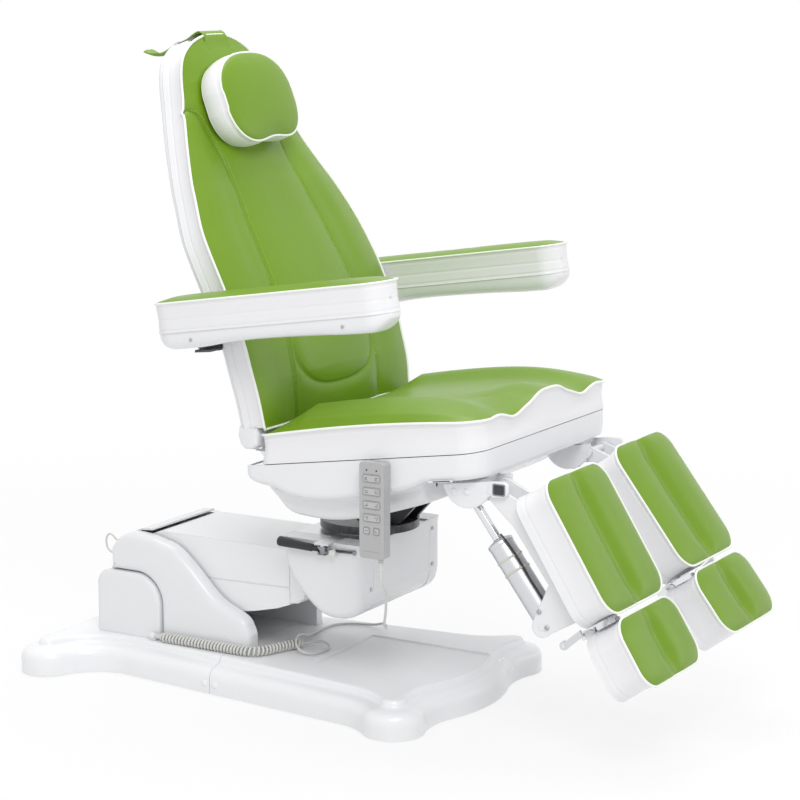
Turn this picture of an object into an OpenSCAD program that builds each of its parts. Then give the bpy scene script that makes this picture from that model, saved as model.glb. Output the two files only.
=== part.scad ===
// Podiatry chair: moulded base, parallel lifting arm, swivelling seat and two separate leg rests.
// Millimetres, +Z up, the leg rests point to -Y and the handset hangs on the -X side.
// The origin is on the floor, in the middle of the swivel-side base.
// Side outlines are lists of [forward, up], where forward is -Y.

/* [Base] */
// Half width of the base over its lobes
base_half = 322; // [300:1:350]
// Forward reach of the base
base_front = 400; // [380:1:440]
// Rearward reach of the base
base_rear = 605; // [590:1:660]
// Radius of the front lobes
front_lobe_r = 64; // [50:1:80]
// Radius of the rear lobes
rear_lobe_r = 60; // [50:1:75]
// Height of the deck
deck_z = 74; // [70:1:78]
// Wall of the moulded covers
wall = 4; // [3:0.5:5]
// Where the front and rear base covers meet, behind the origin
base_split = 134; // [110:1:160]

/* [Rear housing] */
// Half width over the side covers of the housing
housing_half = 152; // [148:1:156]
// Half width inside the side covers of the housing
housing_inner = 118; // [116:1:124]
// Height of the crest of the side covers
housing_top = 302; // [298:1:310]
// Rear face of the side covers, behind the origin
housing_rear = 455; // [452:1:460]
// Rear face of the lower box, behind the origin
box_rear = 489; // [480:1:500]
// Height of the lower box
box_top = 216; // [208:1:222]

/* [Lift] */
// Rear lift pivot, behind the origin
lift_f = 330; // [325:1:335]
// Height of the rear lift pivot
lift_z = 226; // [222:1:228]
// Front lift pivot, ahead of the origin
head_f = 60; // [55:1:65]
// Height of the front lift pivot
head_z = 262; // [256:1:266]
// Radius of the lift shafts
shaft_r = 10; // [8:0.5:12]
// Half width between the arm plates
arm_inner = 76; // [74:1:80]
// Half width of the arm cover
arm_half = 112; // [106:1:114]
// Height of the top of the arm cover
arm_top = 308; // [304:1:309]

/* [Head] */
// Half width over the head covers
head_half = 170; // [166:1:176]
// Front face of the head
head_front = 205; // [200:1:210]
// Height of the head
head_top = 352; // [350:1:354]
// Height of the lowest point of the head covers
head_low = 186; // [182:1:192]
// Swivel axis, ahead of the origin
swivel_f = 125; // [122:1:128]
// Radius of the swivel disc
swivel_r = 106; // [98:1:110]
// Tilt axis of the seat, ahead of the origin
tilt_f = 260; // [256:1:264]
// Height of the tilt axis
tilt_z = 450; // [447:1:453]

/* [Seat] */
// Backward tilt of the seat
seat_tilt = 8.5; // [8:0.1:9]
// Half width of the seat
seat_half = 298; // [292:1:299]
// Rear end of the seat cushion
seat_rear = 40; // [38:1:44]
// Front end of the seat cushion
seat_front = 548; // [544:1:552]
// Height of the rear end of the line where cushion and shell meet
seat_line_z = 526; // [523:1:528]
// Thickness of the cushion at its piping
seat_t = 68; // [60:1:74]
// Wall of the seat shell
shell_wall = 5; // [4:0.5:6]

/* [Back] */
// Height of the back from its lower piping to its top
back_h = 780; // [740:1:800]
// Setback of the head end of the back behind its lower piping
back_set = 310; // [290:1:320]
// Thickness of the back cushion at its piping
back_t = 50; // [44:1:52]
// Thickness of the back shell
back_shell_t = 17; // [14:1:19]
// Recline axis, ahead of the origin
recline_f = 0; // [-2:1:3]
// Height of the recline axis
recline_z = 554; // [552:1:557]
// Half width of the head pillow
pillow_half = 136; // [130:1:152]
// Height of the head pillow along the back
pillow_h = 200; // [180:1:205]
// Thickness of the head pillow
pillow_t = 66; // [60:1:84]

/* [Armrests] */
// Width of an armrest
rest_w = 104; // [90:1:110]
// Rear end of an armrest, behind the origin
rest_rear = 148; // [146:1:154]
// Front end of an armrest
rest_front = 395; // [380:1:400]
// Height of the rear end of an armrest
rest_z = 857; // [855:1:860]
// Thickness of an armrest cushion
rest_t = 60; // [58:1:62]
// Height of the armrest pivot
rest_pivot_z = 787; // [786:1:788]

/* [Legs] */
// Knee pivot, ahead of the origin
knee_f = 550; // [548:1:552]
// Height of the knee pivot
knee_z = 525; // [524:1:526]
// Slope of the near leg rest below the horizontal
near_slope_angle = 58; // [54:0.1:60]
// Slope of the far leg rest below the horizontal
far_slope_angle = 52.6; // [50:0.1:60]
// Distance of the knee pivot behind the face of the pads
knee_depth = 125.5; // [124:0.5:127]
// Inner edge of a leg pad
pad_inner = 26; // [22:1:30]
// Length of the calf pad
calf_len = 284; // [270:1:288]
// Thickness of the leg pads at their piping
pad_t = 76; // [70:1:78]
// Length of the foot pad
foot_len = 143; // [130:1:160]
// Half width inside a leg bracket
bracket_half = 37; // [36:0.5:38]

/* [Handset] */
// Width of the handset
handset_w = 56; // [50:1:60]
// Height of the handset
handset_h = 194; // [180:1:198]
// Thickness of the handset
handset_t = 25; // [20:1:26]
// Rear edge of the handset, ahead of the origin
handset_f = 298; // [290:1:302]
// Height of the lower end of the handset
handset_z = 375; // [372:1:384]
// Diameter of the handset cord
cord_d = 5.4; // [5:0.1:6]
// Outer diameter of the curls of the cord
curl_d = 22; // [20:0.5:23]
// Number of curls of the cord
curl_count = 46; // [40:1:50]

/* [Fits] */
// Radial running clearance of shafts and pins
run_gap = 0.06; // [0.04:0.01:0.08]
// Gap between soft pads and their shells
soft_gap = 0.5; // [0.3:0.1:0.6]
// Gap at the seams of the moulded covers
seam_gap = 1; // [0.6:0.1:1.4]
// Clearance of the eyes at the open ends of the actuators
eye_gap = 7; // [6:0.5:8]

/* [Hidden] */
// Overrun of cuts
cut = 5;
// Small gap between faces that must not touch
play = 0.3;
// How far the solids of one piece run into each other
bite = 1;
// How far a pin reaches past what it holds
pin_over = 2;
$fn = 48;

// Colours
white = [0.93, 0.93, 0.94];
green = [0.49, 0.76, 0.20];
steel = [0.62, 0.64, 0.67];
dark = [0.08, 0.08, 0.09];
pale = [0.80, 0.80, 0.79];

// Extrudes a side outline from x0 to x1
module slab(x0, x1, outline) {
  translate([x1, 0, 0]) rotate([90, 0, -90]) linear_extrude(x1 - x0) polygon(outline);
}
// The same slab on both sides
module both() {
  for (m = [0, 1]) mirror([m, 0, 0]) children();
}
module slabs(x0, x1, outline) both() slab(x0, x1, outline);
// Places given as shares of the way from one corner to the opposite one
function placed(shares, low, high) = [for (s = shares) [low[0] + s[0]*(high[0] - low[0]), low[1] + s[1]*(high[1] - low[1])]];
// A round bar across the chair
module bar(x0, x1, place, r) {
  translate([x0, -place[0], place[1]]) rotate([0, 90, 0]) cylinder(h = x1 - x0, r = r);
}
// A plate between two eyes, seen from the side
module eye_plate(x0, x1, a, b, ra, rb) {
  along = b - a;
  side = [-along[1], along[0]]/norm(along);
  translate([x1, 0, 0]) rotate([90, 0, -90]) linear_extrude(x1 - x0) {
    translate(a) circle(ra);
    translate(b) circle(rb);
    polygon([a + side*ra, a - side*ra, b - side*rb, b + side*rb]);
  }
}
// Points of an arc
function arc(c, r, a0, a1, n) = [for (i = [0:n]) c + r*[cos(a0 + (a1 - a0)*i/n), sin(a0 + (a1 - a0)*i/n)]];
// Moves each point of an open line sideways by d, to the right of its run
function run_of(p, i) = p[min(i + 1, len(p) - 1)] - p[max(i - 1, 0)];
function beside(p, d) = [for (i = [0:len(p) - 1]) p[i] + d*[run_of(p, i)[1], -run_of(p, i)[0]]/norm(run_of(p, i))];
function reversed(p) = [for (i = [len(p) - 1:-1:0]) p[i]];
// Closed band between two offsets of an open line
function band(p, d0, d1) = concat(beside(p, d0), reversed(beside(p, d1)));
function mirrored(p) = [for (i = [len(p) - 1:-1:0]) [-p[i][0], p[i][1]]];

// Faces of a body lofted through closed rings of equal count
function loft_faces(m, n) = concat(
  [for (i = [0:m - 2], j = [0:n - 1]) [i*n + j, i*n + (j + 1) % n, (i + 1)*n + j]],
  [for (i = [0:m - 2], j = [0:n - 1]) [i*n + (j + 1) % n, (i + 1)*n + (j + 1) % n, (i + 1)*n + j]],
  [for (j = [0:n - 3]) [n - 1, j + 1, j]],
  [for (j = [0:n - 3]) [m*n - 1, (m - 1)*n + j, (m - 1)*n + j + 1]]);
module loft(rings) {
  polyhedron(points = [for (r = rings, p = r) p], faces = loft_faces(len(rings), len(rings[0])), convexity = 6);
}
// A tube along 3-D points, with a ring at each
function unit(v) = v/norm(v);
function tube_dir(p, i) = unit(p[min(i + 1, len(p) - 1)] - p[max(i - 1, 0)]);
function tube_ring(p, i, r, n, ref) =
  let (t = tube_dir(p, i), a = unit(ref[i] - (ref[i]*t)*t), b = cross(t, a))
  [for (j = [0:n - 1]) p[i] + r*(cos(360*j/n)*a - sin(360*j/n)*b)];
module tube(p, r, n, ref) {
  loft([for (i = [0:len(p) - 1]) tube_ring(p, i, r, n, ref)]);
}
// Least gap of a tube to itself, leaving out its own next skip points
function self_gap(p, d, skip, near) = min([for (i = [0:len(p) - 1 - skip], j = [i + skip:min(i + near, len(p) - 1)])
  norm(p[i] - p[j]) - d]);

// A pad seen along its length: v runs 0 to 1, rings lie across it, and +Z is the sitting face
pad_across_shares = [-0.86, -0.6, -0.3, 0, 0.3, 0.6, 0.86];
function pad_half(w, l, r, v) =
  let (u = min(v, 1 - v)*l) u >= r ? w : w - r + sqrt(max(0, r*r - (r - u)*(r - u)));
function pad_ring(w, l, t, r, crown, trough, draw, v, shares) =
  let (h = pad_half(w, l, r, v), k = 1 - pow(abs(2*v - 1), 6)) concat(
  [[-h + draw, -v*l, -t], [-h + draw*(1 - k), -v*l, -t/2], [-h, -v*l, 0]],
  [for (s = shares) [s*h, -v*l, crown*k*(1 - s*s*s*s) - trough*k*exp(-pow(s/0.2, 2))]],
  [[h, -v*l, 0], [h - draw*(1 - k), -v*l, -t/2], [h - draw, -v*l, -t], [0, -v*l, -t]]);
module pad(w, l, t, r, crown, trough, draw, stations) {
  loft([for (v = stations) pad_ring(w, l, t, r, crown, trough, draw, v, pad_across_shares)]);
}

// Base
skirt_h = 46;
flange_z = 62;
deck_inset = 42;
// Centres of the round stretches of half the outline, chosen so that each meets the next in one tangent
front_lobe = [base_half - front_lobe_r, base_front - front_lobe_r];
front_hollow_r = 140;
front_hollow_share = 0.74;
front_hollow = front_lobe + (front_lobe_r + front_hollow_r)
  * [front_hollow_share, -sqrt(1 - pow(front_hollow_share, 2))];
rear_lobe = [base_half - rear_lobe_r, rear_lobe_r - base_rear];
rear_hollow_r = 110;
rear_hollow_share = 0.33;
rear_hollow = rear_lobe + (rear_lobe_r + rear_hollow_r)
  * [rear_hollow_share, sqrt(1 - pow(rear_hollow_share, 2))];
// The front edge bulges in the middle between two shallow hollows
bulge_r = base_half*1.09;
dip_r = base_front*0.4;
dip = [base_half*0.56, front_lobe[1] + sqrt(pow(front_lobe_r + dip_r, 2) - pow(front_lobe[0] - base_half*0.56, 2))];
bulge = [0, dip[1] - sqrt(pow(bulge_r + dip_r, 2) - pow(dip[0], 2))];
waist_turn = atan2(front_hollow[1] - rear_hollow[1], front_hollow[0] - rear_hollow[0])
  + acos((rear_hollow_r - front_hollow_r)/norm(front_hollow - rear_hollow));
function angle_of(a, b) = atan2(b[1] - a[1], b[0] - a[0]);
function base_side(e) = concat(
  arc(bulge, bulge_r - e, 90, angle_of(bulge, dip), 5),
  arc(dip, dip_r + e, angle_of(dip, bulge), -180 + angle_of(front_lobe, dip), 4),
  arc(front_lobe, front_lobe_r - e, angle_of(front_lobe, dip), angle_of(front_lobe, front_hollow), 10),
  arc(front_hollow, front_hollow_r + e, 180 + angle_of(front_lobe, front_hollow), waist_turn, 7),
  arc(rear_hollow, rear_hollow_r + e, waist_turn, 180 + angle_of(rear_lobe, rear_hollow), 7),
  arc(rear_lobe, rear_lobe_r - e, angle_of(rear_lobe, rear_hollow), -90, 10));
// Solid of the outline, drawn in by e, from z0 to z1
module base_solid(e, z0, z1) {
  side = base_side(e);
  translate([0, 0, z0]) linear_extrude(z1 - z0) mirror([0, 1, 0]) polygon(concat(side, mirrored(side)));
}
skirt_bevel = (flange_z - skirt_h)/2;
skirt_clear = 2;
upright_foot = 60;
channel_half = 120;
channel_drop = 4;
module base_shell() {
  difference() {
    union() {
      base_solid(0, skirt_clear, skirt_h);
      base_solid(skirt_bevel/2, skirt_h, skirt_h + skirt_bevel);
      base_solid(skirt_bevel*2, skirt_h + skirt_bevel, flange_z);
      base_solid(deck_inset, flange_z, deck_z);
    }
    base_solid(wall, skirt_clear - cut, skirt_h - wall);
    base_solid(skirt_bevel*2 + wall, skirt_h - wall - cut, flange_z - wall);
    base_solid(deck_inset + wall, flange_z - wall - cut, deck_z - channel_drop - wall);
    // Shallow channel along the middle of the deck
    translate([-channel_half, -base_front - cut, deck_z - channel_drop])
      cube([2*channel_half, base_front + cut - head_f, channel_drop + cut]);
    // Way through for the uprights and the lift
    translate([-arm_inner, lift_foot_f - upright_foot - cut, 0])
      cube([2*arm_inner, lift_f - lift_foot_f + 2*(upright_foot + cut), deck_z + cut]);
  }
}
module half_space(front) {
  far = base_rear + base_front;
  translate([-base_half - cut, front ? -far - cut : base_split + seam_gap, -cut])
    cube([2*(base_half + cut), far + cut + (front ? base_split : 0), 2*deck_z + cut]);
}
bump_r = 6;
module cover_bump(f) {
  // Moulded cap of a cover screw, on the skirt near the seam
  both() translate([waist_half(f) - bump_r/2, -f, skirt_h/2]) sphere(r = bump_r);
}
function waist_half(f) =
  let (a = rear_hollow + rear_hollow_r*[cos(waist_turn), sin(waist_turn)],
    b = front_hollow + front_hollow_r*[cos(waist_turn), sin(waist_turn)])
  a[0] + (b[0] - a[0])*(f - a[1])/(b[1] - a[1]);
bump_f = 14;
module front_base_cover() color(white) {
  intersection() {
    base_shell();
    half_space(true);
  }
  cover_bump(bump_f - base_split);
}
module rear_base_cover() color(white) {
  intersection() {
    base_shell();
    half_space(false);
  }
  cover_bump(-bump_f - base_split);
}

base_plate_t = 10;
foot_h = 14;
link_drop = 52;
lift_foot_f = 300;
lift_foot_z = 118;
lift_eye_f = 40;
lift_eye_z = 250;
foot_d = 50;
plate_half = waist_half(-base_rear/2) - deck_inset;
upright_in = 50;
foot_beam = 60;
upright_t = 12;
upright_outline = [[-lift_f - upright_foot, foot_h], [-lift_foot_f + upright_foot, foot_h],
  [-lift_foot_f + shaft_r*3, lift_foot_z], [-lift_f + shaft_r*2, lift_z + shaft_r*2],
  [-lift_f - shaft_r*2, lift_z + shaft_r*2], [-lift_f - upright_foot/2, lift_foot_z]];
module base_frame() color(steel) {
  // Base plate with a cross beam at each end for the feet
  translate([-plate_half, -front_lobe[1], foot_h]) cube([2*plate_half, front_lobe[1] - rear_lobe[1], base_plate_t]);
  for (p = [front_lobe, rear_lobe]) translate([-p[0] - foot_beam/2, -p[1] - foot_beam/2, foot_h])
    cube([2*p[0] + foot_beam, foot_beam, base_plate_t]);
  slabs(upright_in, upright_in + upright_t, upright_outline);
  // Shaft of the arm, pin of the links and pin of the actuator
  bar(-arm_inner - arm_plate - pin_over, arm_inner + arm_plate + pin_over, arm_a, shaft_r);
  for (p = [link_a, lift_foot]) bar(-upright_in - cut, upright_in + cut, p, link_pin_r);
}
link_pin_r = shaft_r*0.8;
stud_r = 6;
module levelling_feet() color(dark) {
  // Rubber pads, each with a short stud up to the frame
  for (x = [-1, 1], p = [front_lobe, rear_lobe])
    translate([x*p[0], -p[1], 0]) {
      cylinder(h = foot_h/2, r = foot_d/2);
      cylinder(h = foot_h, r = stud_r);
    }
}

// Rear housing
// Crest of the side covers: share of the length forward from the rear face, and share of the height
crest_len = 368;
crest_shares = [[0, 0.87], [0.043, 0.945], [0.13, 1], [0.234, 1], [0.348, 0.975], [0.462, 0.93], [0.584, 0.81], [0.761, 0.605],
  [0.938, 0.5], [0.984, 0.43]];
crest = placed(crest_shares, [-housing_rear, 0], [crest_len - housing_rear, housing_top]);
housing_foot = deck_z + play;
crest_outline = concat([[-housing_rear, housing_foot]], crest, [[crest_len - housing_rear, housing_foot]]);
crest_inner = concat([[-housing_rear - cut, deck_z - cut], [-housing_rear - cut, crest[0][1]]],
  [for (i = [1:len(crest) - 1]) beside(crest, wall)[i]], [[crest_len - housing_rear - wall, deck_z - cut]]);
arch_reach = 168;
arch_rear_r = 34;
arch_front_r = 66;
// Arch of the lower box, seen from the side; e draws it in
function arch_outline(e) = concat([[e - box_rear, housing_foot]],
  arc([arch_rear_r - box_rear, box_top - arch_rear_r], arch_rear_r - e, 180, 90, 5),
  arc([arch_reach - arch_front_r - box_rear, box_top - arch_front_r], arch_front_r - e, 90, 0, 8),
  [[arch_reach - box_rear - e, housing_foot]]);
gland_r = 7;
gland_f = 324;
gland_out = 13;
module side_cover() color(white) {
  difference() {
    slab(-housing_half, -housing_inner, crest_outline);
    slab(-housing_half + wall, -housing_inner + cut, crest_inner);
    slab(-housing_half - cut, -housing_inner + cut, concat(arch_outline(-seam_gap*1.5), [[-box_rear, -cut]]));
  }
}

hood_gap = 4;
hood_r = arm_top - lift_z + hood_gap;
hood_shares = [[0.256, 1], [0.496, 0.969], [0.888, 0.739], [1.024, 0.455], [1.056, 0]];
hood_line = placed(hood_shares, [-lift_f, box_top], [-housing_rear, arm_top + wall]);
box_line_shares = [[0, 0], [0, 0.79], [0.41, 0.944], [0.91, 1]];
box_line = placed(box_line_shares, [-box_rear, housing_foot], [-housing_rear, box_top]);
module rear_housing_cover() color(white) {
  // Hood over the rear end of the arm, down to the lower box
  difference() {
    slab(-housing_inner + seam_gap, housing_inner - seam_gap, band(hood_line, 0, -wall));
    bar(-housing_inner, housing_inner, [-lift_f, lift_z], hood_r);
  }
  slab(-housing_half, housing_half, band(box_line, 0, wall));
  // Side walls of the lower box, with their arched rims
  both() {
    slab(-housing_half, -housing_half + wall, arch_outline(0));
    difference() {
      slab(-housing_half, -housing_inner - 2*seam_gap, arch_outline(0));
      slab(-housing_half + wall, 0, concat(arch_outline(wall), [[-box_rear, -cut]]));
    }
  }
  // Gland of the handset cord
  translate([-housing_half - gland_out, gland_f, deck_z + curl_d/2]) rotate([-90, 0, 0])
    cylinder(h = gland_r*2, r = gland_r);
  translate([-housing_half - gland_out, gland_f, housing_foot])
    cube([gland_out + wall/2, gland_r*2, curl_d/2]);
  // Outlet and inlet of the short cable behind
  translate(rear_cable_route[0]) rotate([90, 0, 0])
    cylinder(h = cable_boss, r = rear_cable_d);
  translate(rear_cable_route[len(rear_cable_route) - 1] - [0, 0, cable_boss])
    cylinder(h = cable_boss, r = rear_cable_d);
}
cable_boss = 12;
box_size = [150, 40, 96];
module control_box() color(dark) {
  // Supply and motor control, standing on the deck inside the lower box
  translate([-box_size[0]/2, box_rear - wall*3 - box_size[1], deck_z + soft_gap])
    cube(box_size);
}
rear_cable_d = 4.5;
rear_cable_route = [[-100, 462, 268], [-100, 469, 268], [-100, 477, 271], [-100, 484, 277], [-100, 492, 281], [-100, 500, 277], [-100, 504, 268],
  [-100, 504, 257], [-100, 500, 247], [-99, 492, 240], [-98, 483, 237], [-97, 475, 235], [-97, 470, 229], [-97, 470, 222]];
module rear_cable() color(pale)
  tube(rear_cable_route, rear_cable_d/2, 8, [for (p = rear_cable_route) [1, 0, 0]]);

// Lift
arm_a = [-lift_f, lift_z];
arm_b = [head_f, head_z];
link_a = arm_a - [0, link_drop];
link_b = arm_b - [0, link_drop];
lift_foot = [-lift_foot_f, lift_foot_z];
lift_eye = [-lift_eye_f, lift_eye_z];
arm_plate = 8;
boss_r = shaft_r*2.6;
module lift_arm() color(steel) {
  difference() {
    both() eye_plate(arm_inner, arm_inner + arm_plate, arm_a, arm_b, boss_r, boss_r);
    for (p = [arm_a, arm_b]) bar(-arm_inner*2, arm_inner*2, p, shaft_r + run_gap);
  }
  // Cross pin that the lift actuator pushes
  bar(-arm_inner - bite, arm_inner + bite, lift_eye, link_pin_r);
  // Spacers that carry the cover
  both() for (s = spacer_shares)
    bar(arm_inner + arm_plate - bite, arm_half - wall - play, arm_a + (arm_b - arm_a)*s, shaft_r);
}
spacer_shares = [0.25, 0.68];
// Underside of the arm cover: share of the way forward from the rear pivot, and share of the height of its top
arm_low_shares = [[0.206, 0.666], [0.242, 0.494], [0.455, 0.474], [0.697, 0.519], [0.879, 0.565], [0.976, 0.604]];
arm_low = placed(arm_low_shares, [-lift_f, 0], [0, arm_top]);
arm_end = arm_low[5][0];
well_z = arm_top*0.672;
well_half = 56;
well_reach = 230;
well_rear_reach = 70;
arm_seam = [[-lift_f + shaft_r*9, lift_z - shaft_r*0.8], [arm_end + cut, lift_z - shaft_r*0.2]];
seam_deep = 1;
arm_r = arm_top - lift_z;
module arm_body(e) {
  translate([arm_half - e, 0, 0]) rotate([90, 0, -90]) linear_extrude(2*(arm_half - e)) {
    translate(arm_a) circle(arm_r - e, $fn = 96);
    polygon(concat([[-lift_f, arm_top - e], [e > 0 ? cut : arm_end, arm_top - e]],
      [for (i = [len(arm_low) - 1:-1:0]) arm_low[i] + [e > 0 && i == len(arm_low) - 1 ? cut + e : 0, e]],
      [[-lift_f, lift_z - arm_r + e]]));
  }
}
module arm_cover() color(white) {
  difference() {
    arm_body(0);
    arm_body(wall);
    // Open underside at the rear, for the uprights and the actuator
    translate([-arm_half + wall, lift_f - well_rear_reach, 0])
      cube([2*(arm_half - wall), hood_r + 2*well_rear_reach, well_z]);
    translate([-well_half, lift_f - well_reach, 0]) cube([2*well_half, well_reach, well_z]);
    // Fine seam where the upper and the lower half of the cover meet
    slabs(arm_half - seam_deep, arm_half + cut, band(arm_seam, -seam_deep, seam_deep));
  }
}
link_in = 34;
link_t = 9;
link_r = 14;
link_play = 1.2;
module parallel_links() color(steel) {
  // Two links that keep the head level
  difference() {
    both() eye_plate(link_in, link_in + link_t, link_a, link_b, link_r, link_r);
    bar(-upright_in, upright_in, link_a, link_pin_r + run_gap);
    bar(-upright_in, upright_in, link_b, link_pin_r + link_play);
  }
}
lift_rod_r = 11;
lift_tube_r = 27;
lift_run = norm(lift_eye - lift_foot);
lift_turn = atan2(lift_eye[1] - lift_foot[1], lift_eye[0] - lift_foot[0]);
lift_tube_len = lift_run*0.62;
eye_wall = 6;
// Draws along a line in the side plane: +X of the drawing runs from the place along the angle
module along_line(place, angle) {
  translate([0, -place[0], place[1]]) rotate([-angle, 0, 0]) rotate([90, 0, 0]) children();
}
module lift_actuator_tube() color(dark) {
  difference() {
    along_line(lift_foot, lift_turn) {
      translate([0, 0, boss_r]) cylinder(h = lift_tube_len - boss_r, r = lift_tube_r);
      cylinder(h = boss_r + cut, r = lift_tube_r*0.6);
    }
    along_line(lift_foot, lift_turn) translate([0, 0, boss_r + cut])
      cylinder(h = lift_run, r = lift_rod_r + run_gap);
    bar(-upright_in, upright_in, lift_foot, link_pin_r + run_gap);
  }
}
module lift_actuator_rod() color(steel) {
  difference() {
    union() {
      along_line(lift_foot, lift_turn) translate([0, 0, boss_r*2])
        cylinder(h = lift_run - boss_r*2 - link_pin_r - eye_gap*1.3, r = lift_rod_r);
      bar(-lift_rod_r*0.8, lift_rod_r*0.8, lift_eye, link_pin_r + eye_gap + eye_wall);
    }
    bar(-lift_tube_r, lift_tube_r, lift_eye, link_pin_r + eye_gap);
  }
}

// Head
head_plate_t = 9;
head_drop = 3;
head_rear = 6;
ring_t = 4;
ring_in = 0.5;
// Shares of the disc's radius: foot, flange and bore of the bearing ring
ring_shares = [0.717, 0.83, 0.623];
swivel_t = 17;
disc_z = head_top + ring_t + seam_gap;
screw_x = 128.5;
screw_drop_shares = [0.127, 0.602];
screw_heights = [for (s = screw_drop_shares) head_top - s*(head_top - head_low)];
screw_r = 4.2;
screw_len = 10;
screw_head_t = 2;
head_cheek_x = 46;
head_cheek_t = 12;
head_bar_over = 9;
head_bar_t = 9.5;
lock_d = 22;
lock_grip = 86;
lock_f = 122;
lock_out = 13;
lock_w = 34;
lock_over = 7;
lock_drop = 14;
lock_pin_r = 6;
lock_hub_r = 11;
lock_hub_h = 14;
lock_arm = [14, 28, 12];
module head_frame() color(steel) {
  plate_z = head_top - head_drop;
  bar_f = head_front - wall - seam_gap/2;
  // Top plate, two cheeks for the pivots and a front bar for the covers
  difference() {
    slab(-arm_half, arm_half, [[head_rear, plate_z - head_plate_t], [bar_f - bite, plate_z - head_plate_t],
      [bar_f - bite, plate_z], [head_rear, plate_z]]);
    translate([0, -swivel_f, head_top - 3*head_plate_t]) cylinder(h = 4*head_plate_t, r = shaft_r*2 + run_gap);
  }
  slabs(head_cheek_x, head_cheek_x + head_cheek_t, [[head_f - shaft_r*3.2, plate_z - head_plate_t + bite],
    [head_f + shaft_r*5, plate_z - head_plate_t + bite], link_b + [shaft_r*2, -link_r], link_b - [shaft_r*1.8, link_r]]);
  bar(-arm_inner - arm_plate - pin_over, arm_inner + arm_plate + pin_over, arm_b, shaft_r);
  bar(-head_cheek_x - bite, head_cheek_x + bite, link_b, link_pin_r);
  slab(-screw_x - head_bar_over, screw_x + head_bar_over, placed([[0, 0], [1, 0], [1, 1], [0, 1]],
    [bar_f - head_bar_t, head_low + (head_top - head_low)*0.35], [bar_f, plate_z - pin_over]));
  // Bearing ring under the swivel disc
  translate([0, -swivel_f, plate_z - ring_in]) difference() {
    union() {
      cylinder(h = ring_t + head_drop + ring_in, r = swivel_r*ring_shares[0], $fn = 96);
      translate([0, 0, head_drop + 2*ring_in]) cylinder(h = ring_t - ring_in, r = swivel_r*ring_shares[1], $fn = 96);
    }
    translate([0, 0, -cut]) cylinder(h = ring_t + 3*cut, r = swivel_r*ring_shares[2], $fn = 96);
  }
  // Bracket and pin of the swivel lock
  translate([-head_half - lock_out - lock_over, -lock_f - lock_w/2, plate_z])
    cube([head_half + lock_out + lock_over - arm_half + pin_over, lock_w, ring_t]);
  translate([-head_half - lock_out, -lock_f, head_top - lock_drop - lock_hub_h/2 - bite])
    cylinder(h = lock_drop + lock_hub_h/2 + bite - head_drop + ring_t/2, r = lock_pin_r);
  // Cover screws
  for (x = [-screw_x, screw_x], z = screw_heights) translate([x, 0, z]) rotate([90, 0, 0]) {
    translate([0, 0, head_front - screw_len]) cylinder(h = screw_len + play + bite/2, r = screw_r/2);
    translate([0, 0, head_front + play]) cylinder(h = screw_head_t, r = screw_r);
  }
}
// Side outline of the head covers, from the rear rim under the belly to the front rim
head_shares = [[0.01, 1], [0.02, 0.831], [0.08, 0.554], [0.231, 0.289], [0.392, 0.108], [0.513, 0.03], [0.643, 0], [0.774, 0.012],
  [0.894, 0.072], [0.97, 0.181], [1, 0.325], [1, 1]];
head_outline = placed(head_shares, [head_rear, head_low], [head_front, head_top]);
head_hollow = concat([head_outline[0] + [wall, cut]], beside(head_outline, -wall), [[head_front - wall, head_top + cut]]);
bulge_t = 6;
bulge_shares = [0.07, 0.05];
module head_cover() color(white) {
  // Bulged side cover, open towards the middle
  difference() {
    union() {
      slab(-head_half + bulge_t, -housing_inner - seam_gap, head_outline);
      slab(-head_half, -head_half + bulge_t + bite, [for (p = head_outline) [p[0] + (head_f*1.7 - p[0])*bulge_shares[0],
        p[1] + (head_top - p[1])*bulge_shares[1]]]);
    }
    slab(-head_half + wall + bulge_t/2, 0, head_hollow);
    // Slot for the bracket of the swivel lock
    translate([-head_half - cut, -lock_f - lock_w/2 - seam_gap, head_top - head_drop - seam_gap])
      cube([head_half, lock_w + 2*seam_gap, cut*2]);
    for (z = screw_heights) translate([-screw_x, -head_front - cut, z]) rotate([-90, 0, 0])
      cylinder(h = 4*cut, r = screw_r/2 + play);
  }
}
front_line = [for (i = [11:-1:8]) head_outline[i]];
module head_front_plate() color(white)
  slab(-housing_inner, housing_inner, band(front_line, 0, wall));

module swivel_lever() color(dark) {
  // Lock lever with its grip, on an upright pin outside the near head cover
  translate([-head_half - lock_out, -lock_f, head_top - lock_drop]) {
    difference() {
      union() {
        translate([0, 0, -lock_hub_h/2]) cylinder(h = lock_hub_h, r = lock_hub_r);
        translate([-lock_arm[0]/2, 0, -lock_arm[2]/2]) cube(lock_arm);
      }
      translate([0, 0, -3*cut]) cylinder(h = 6*cut, r = lock_pin_r + run_gap);
    }
    translate([0, lock_arm[1]*0.86, 0]) rotate([-90, 0, 0]) cylinder(h = lock_grip*0.12, r = lock_d*0.3);
    translate([0, lock_arm[1]*0.86 + lock_grip*0.1, 0]) rotate([-94, 0, 0])
      cylinder(h = lock_grip*0.9, r1 = lock_d*0.42, r2 = lock_d/2);
  }
}
tilt_place = [tilt_f, tilt_z];
lug_x = 30;
lug_t = 11;
lug_r = 14;
lug_gap = 2;
lug_end = 6;
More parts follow.
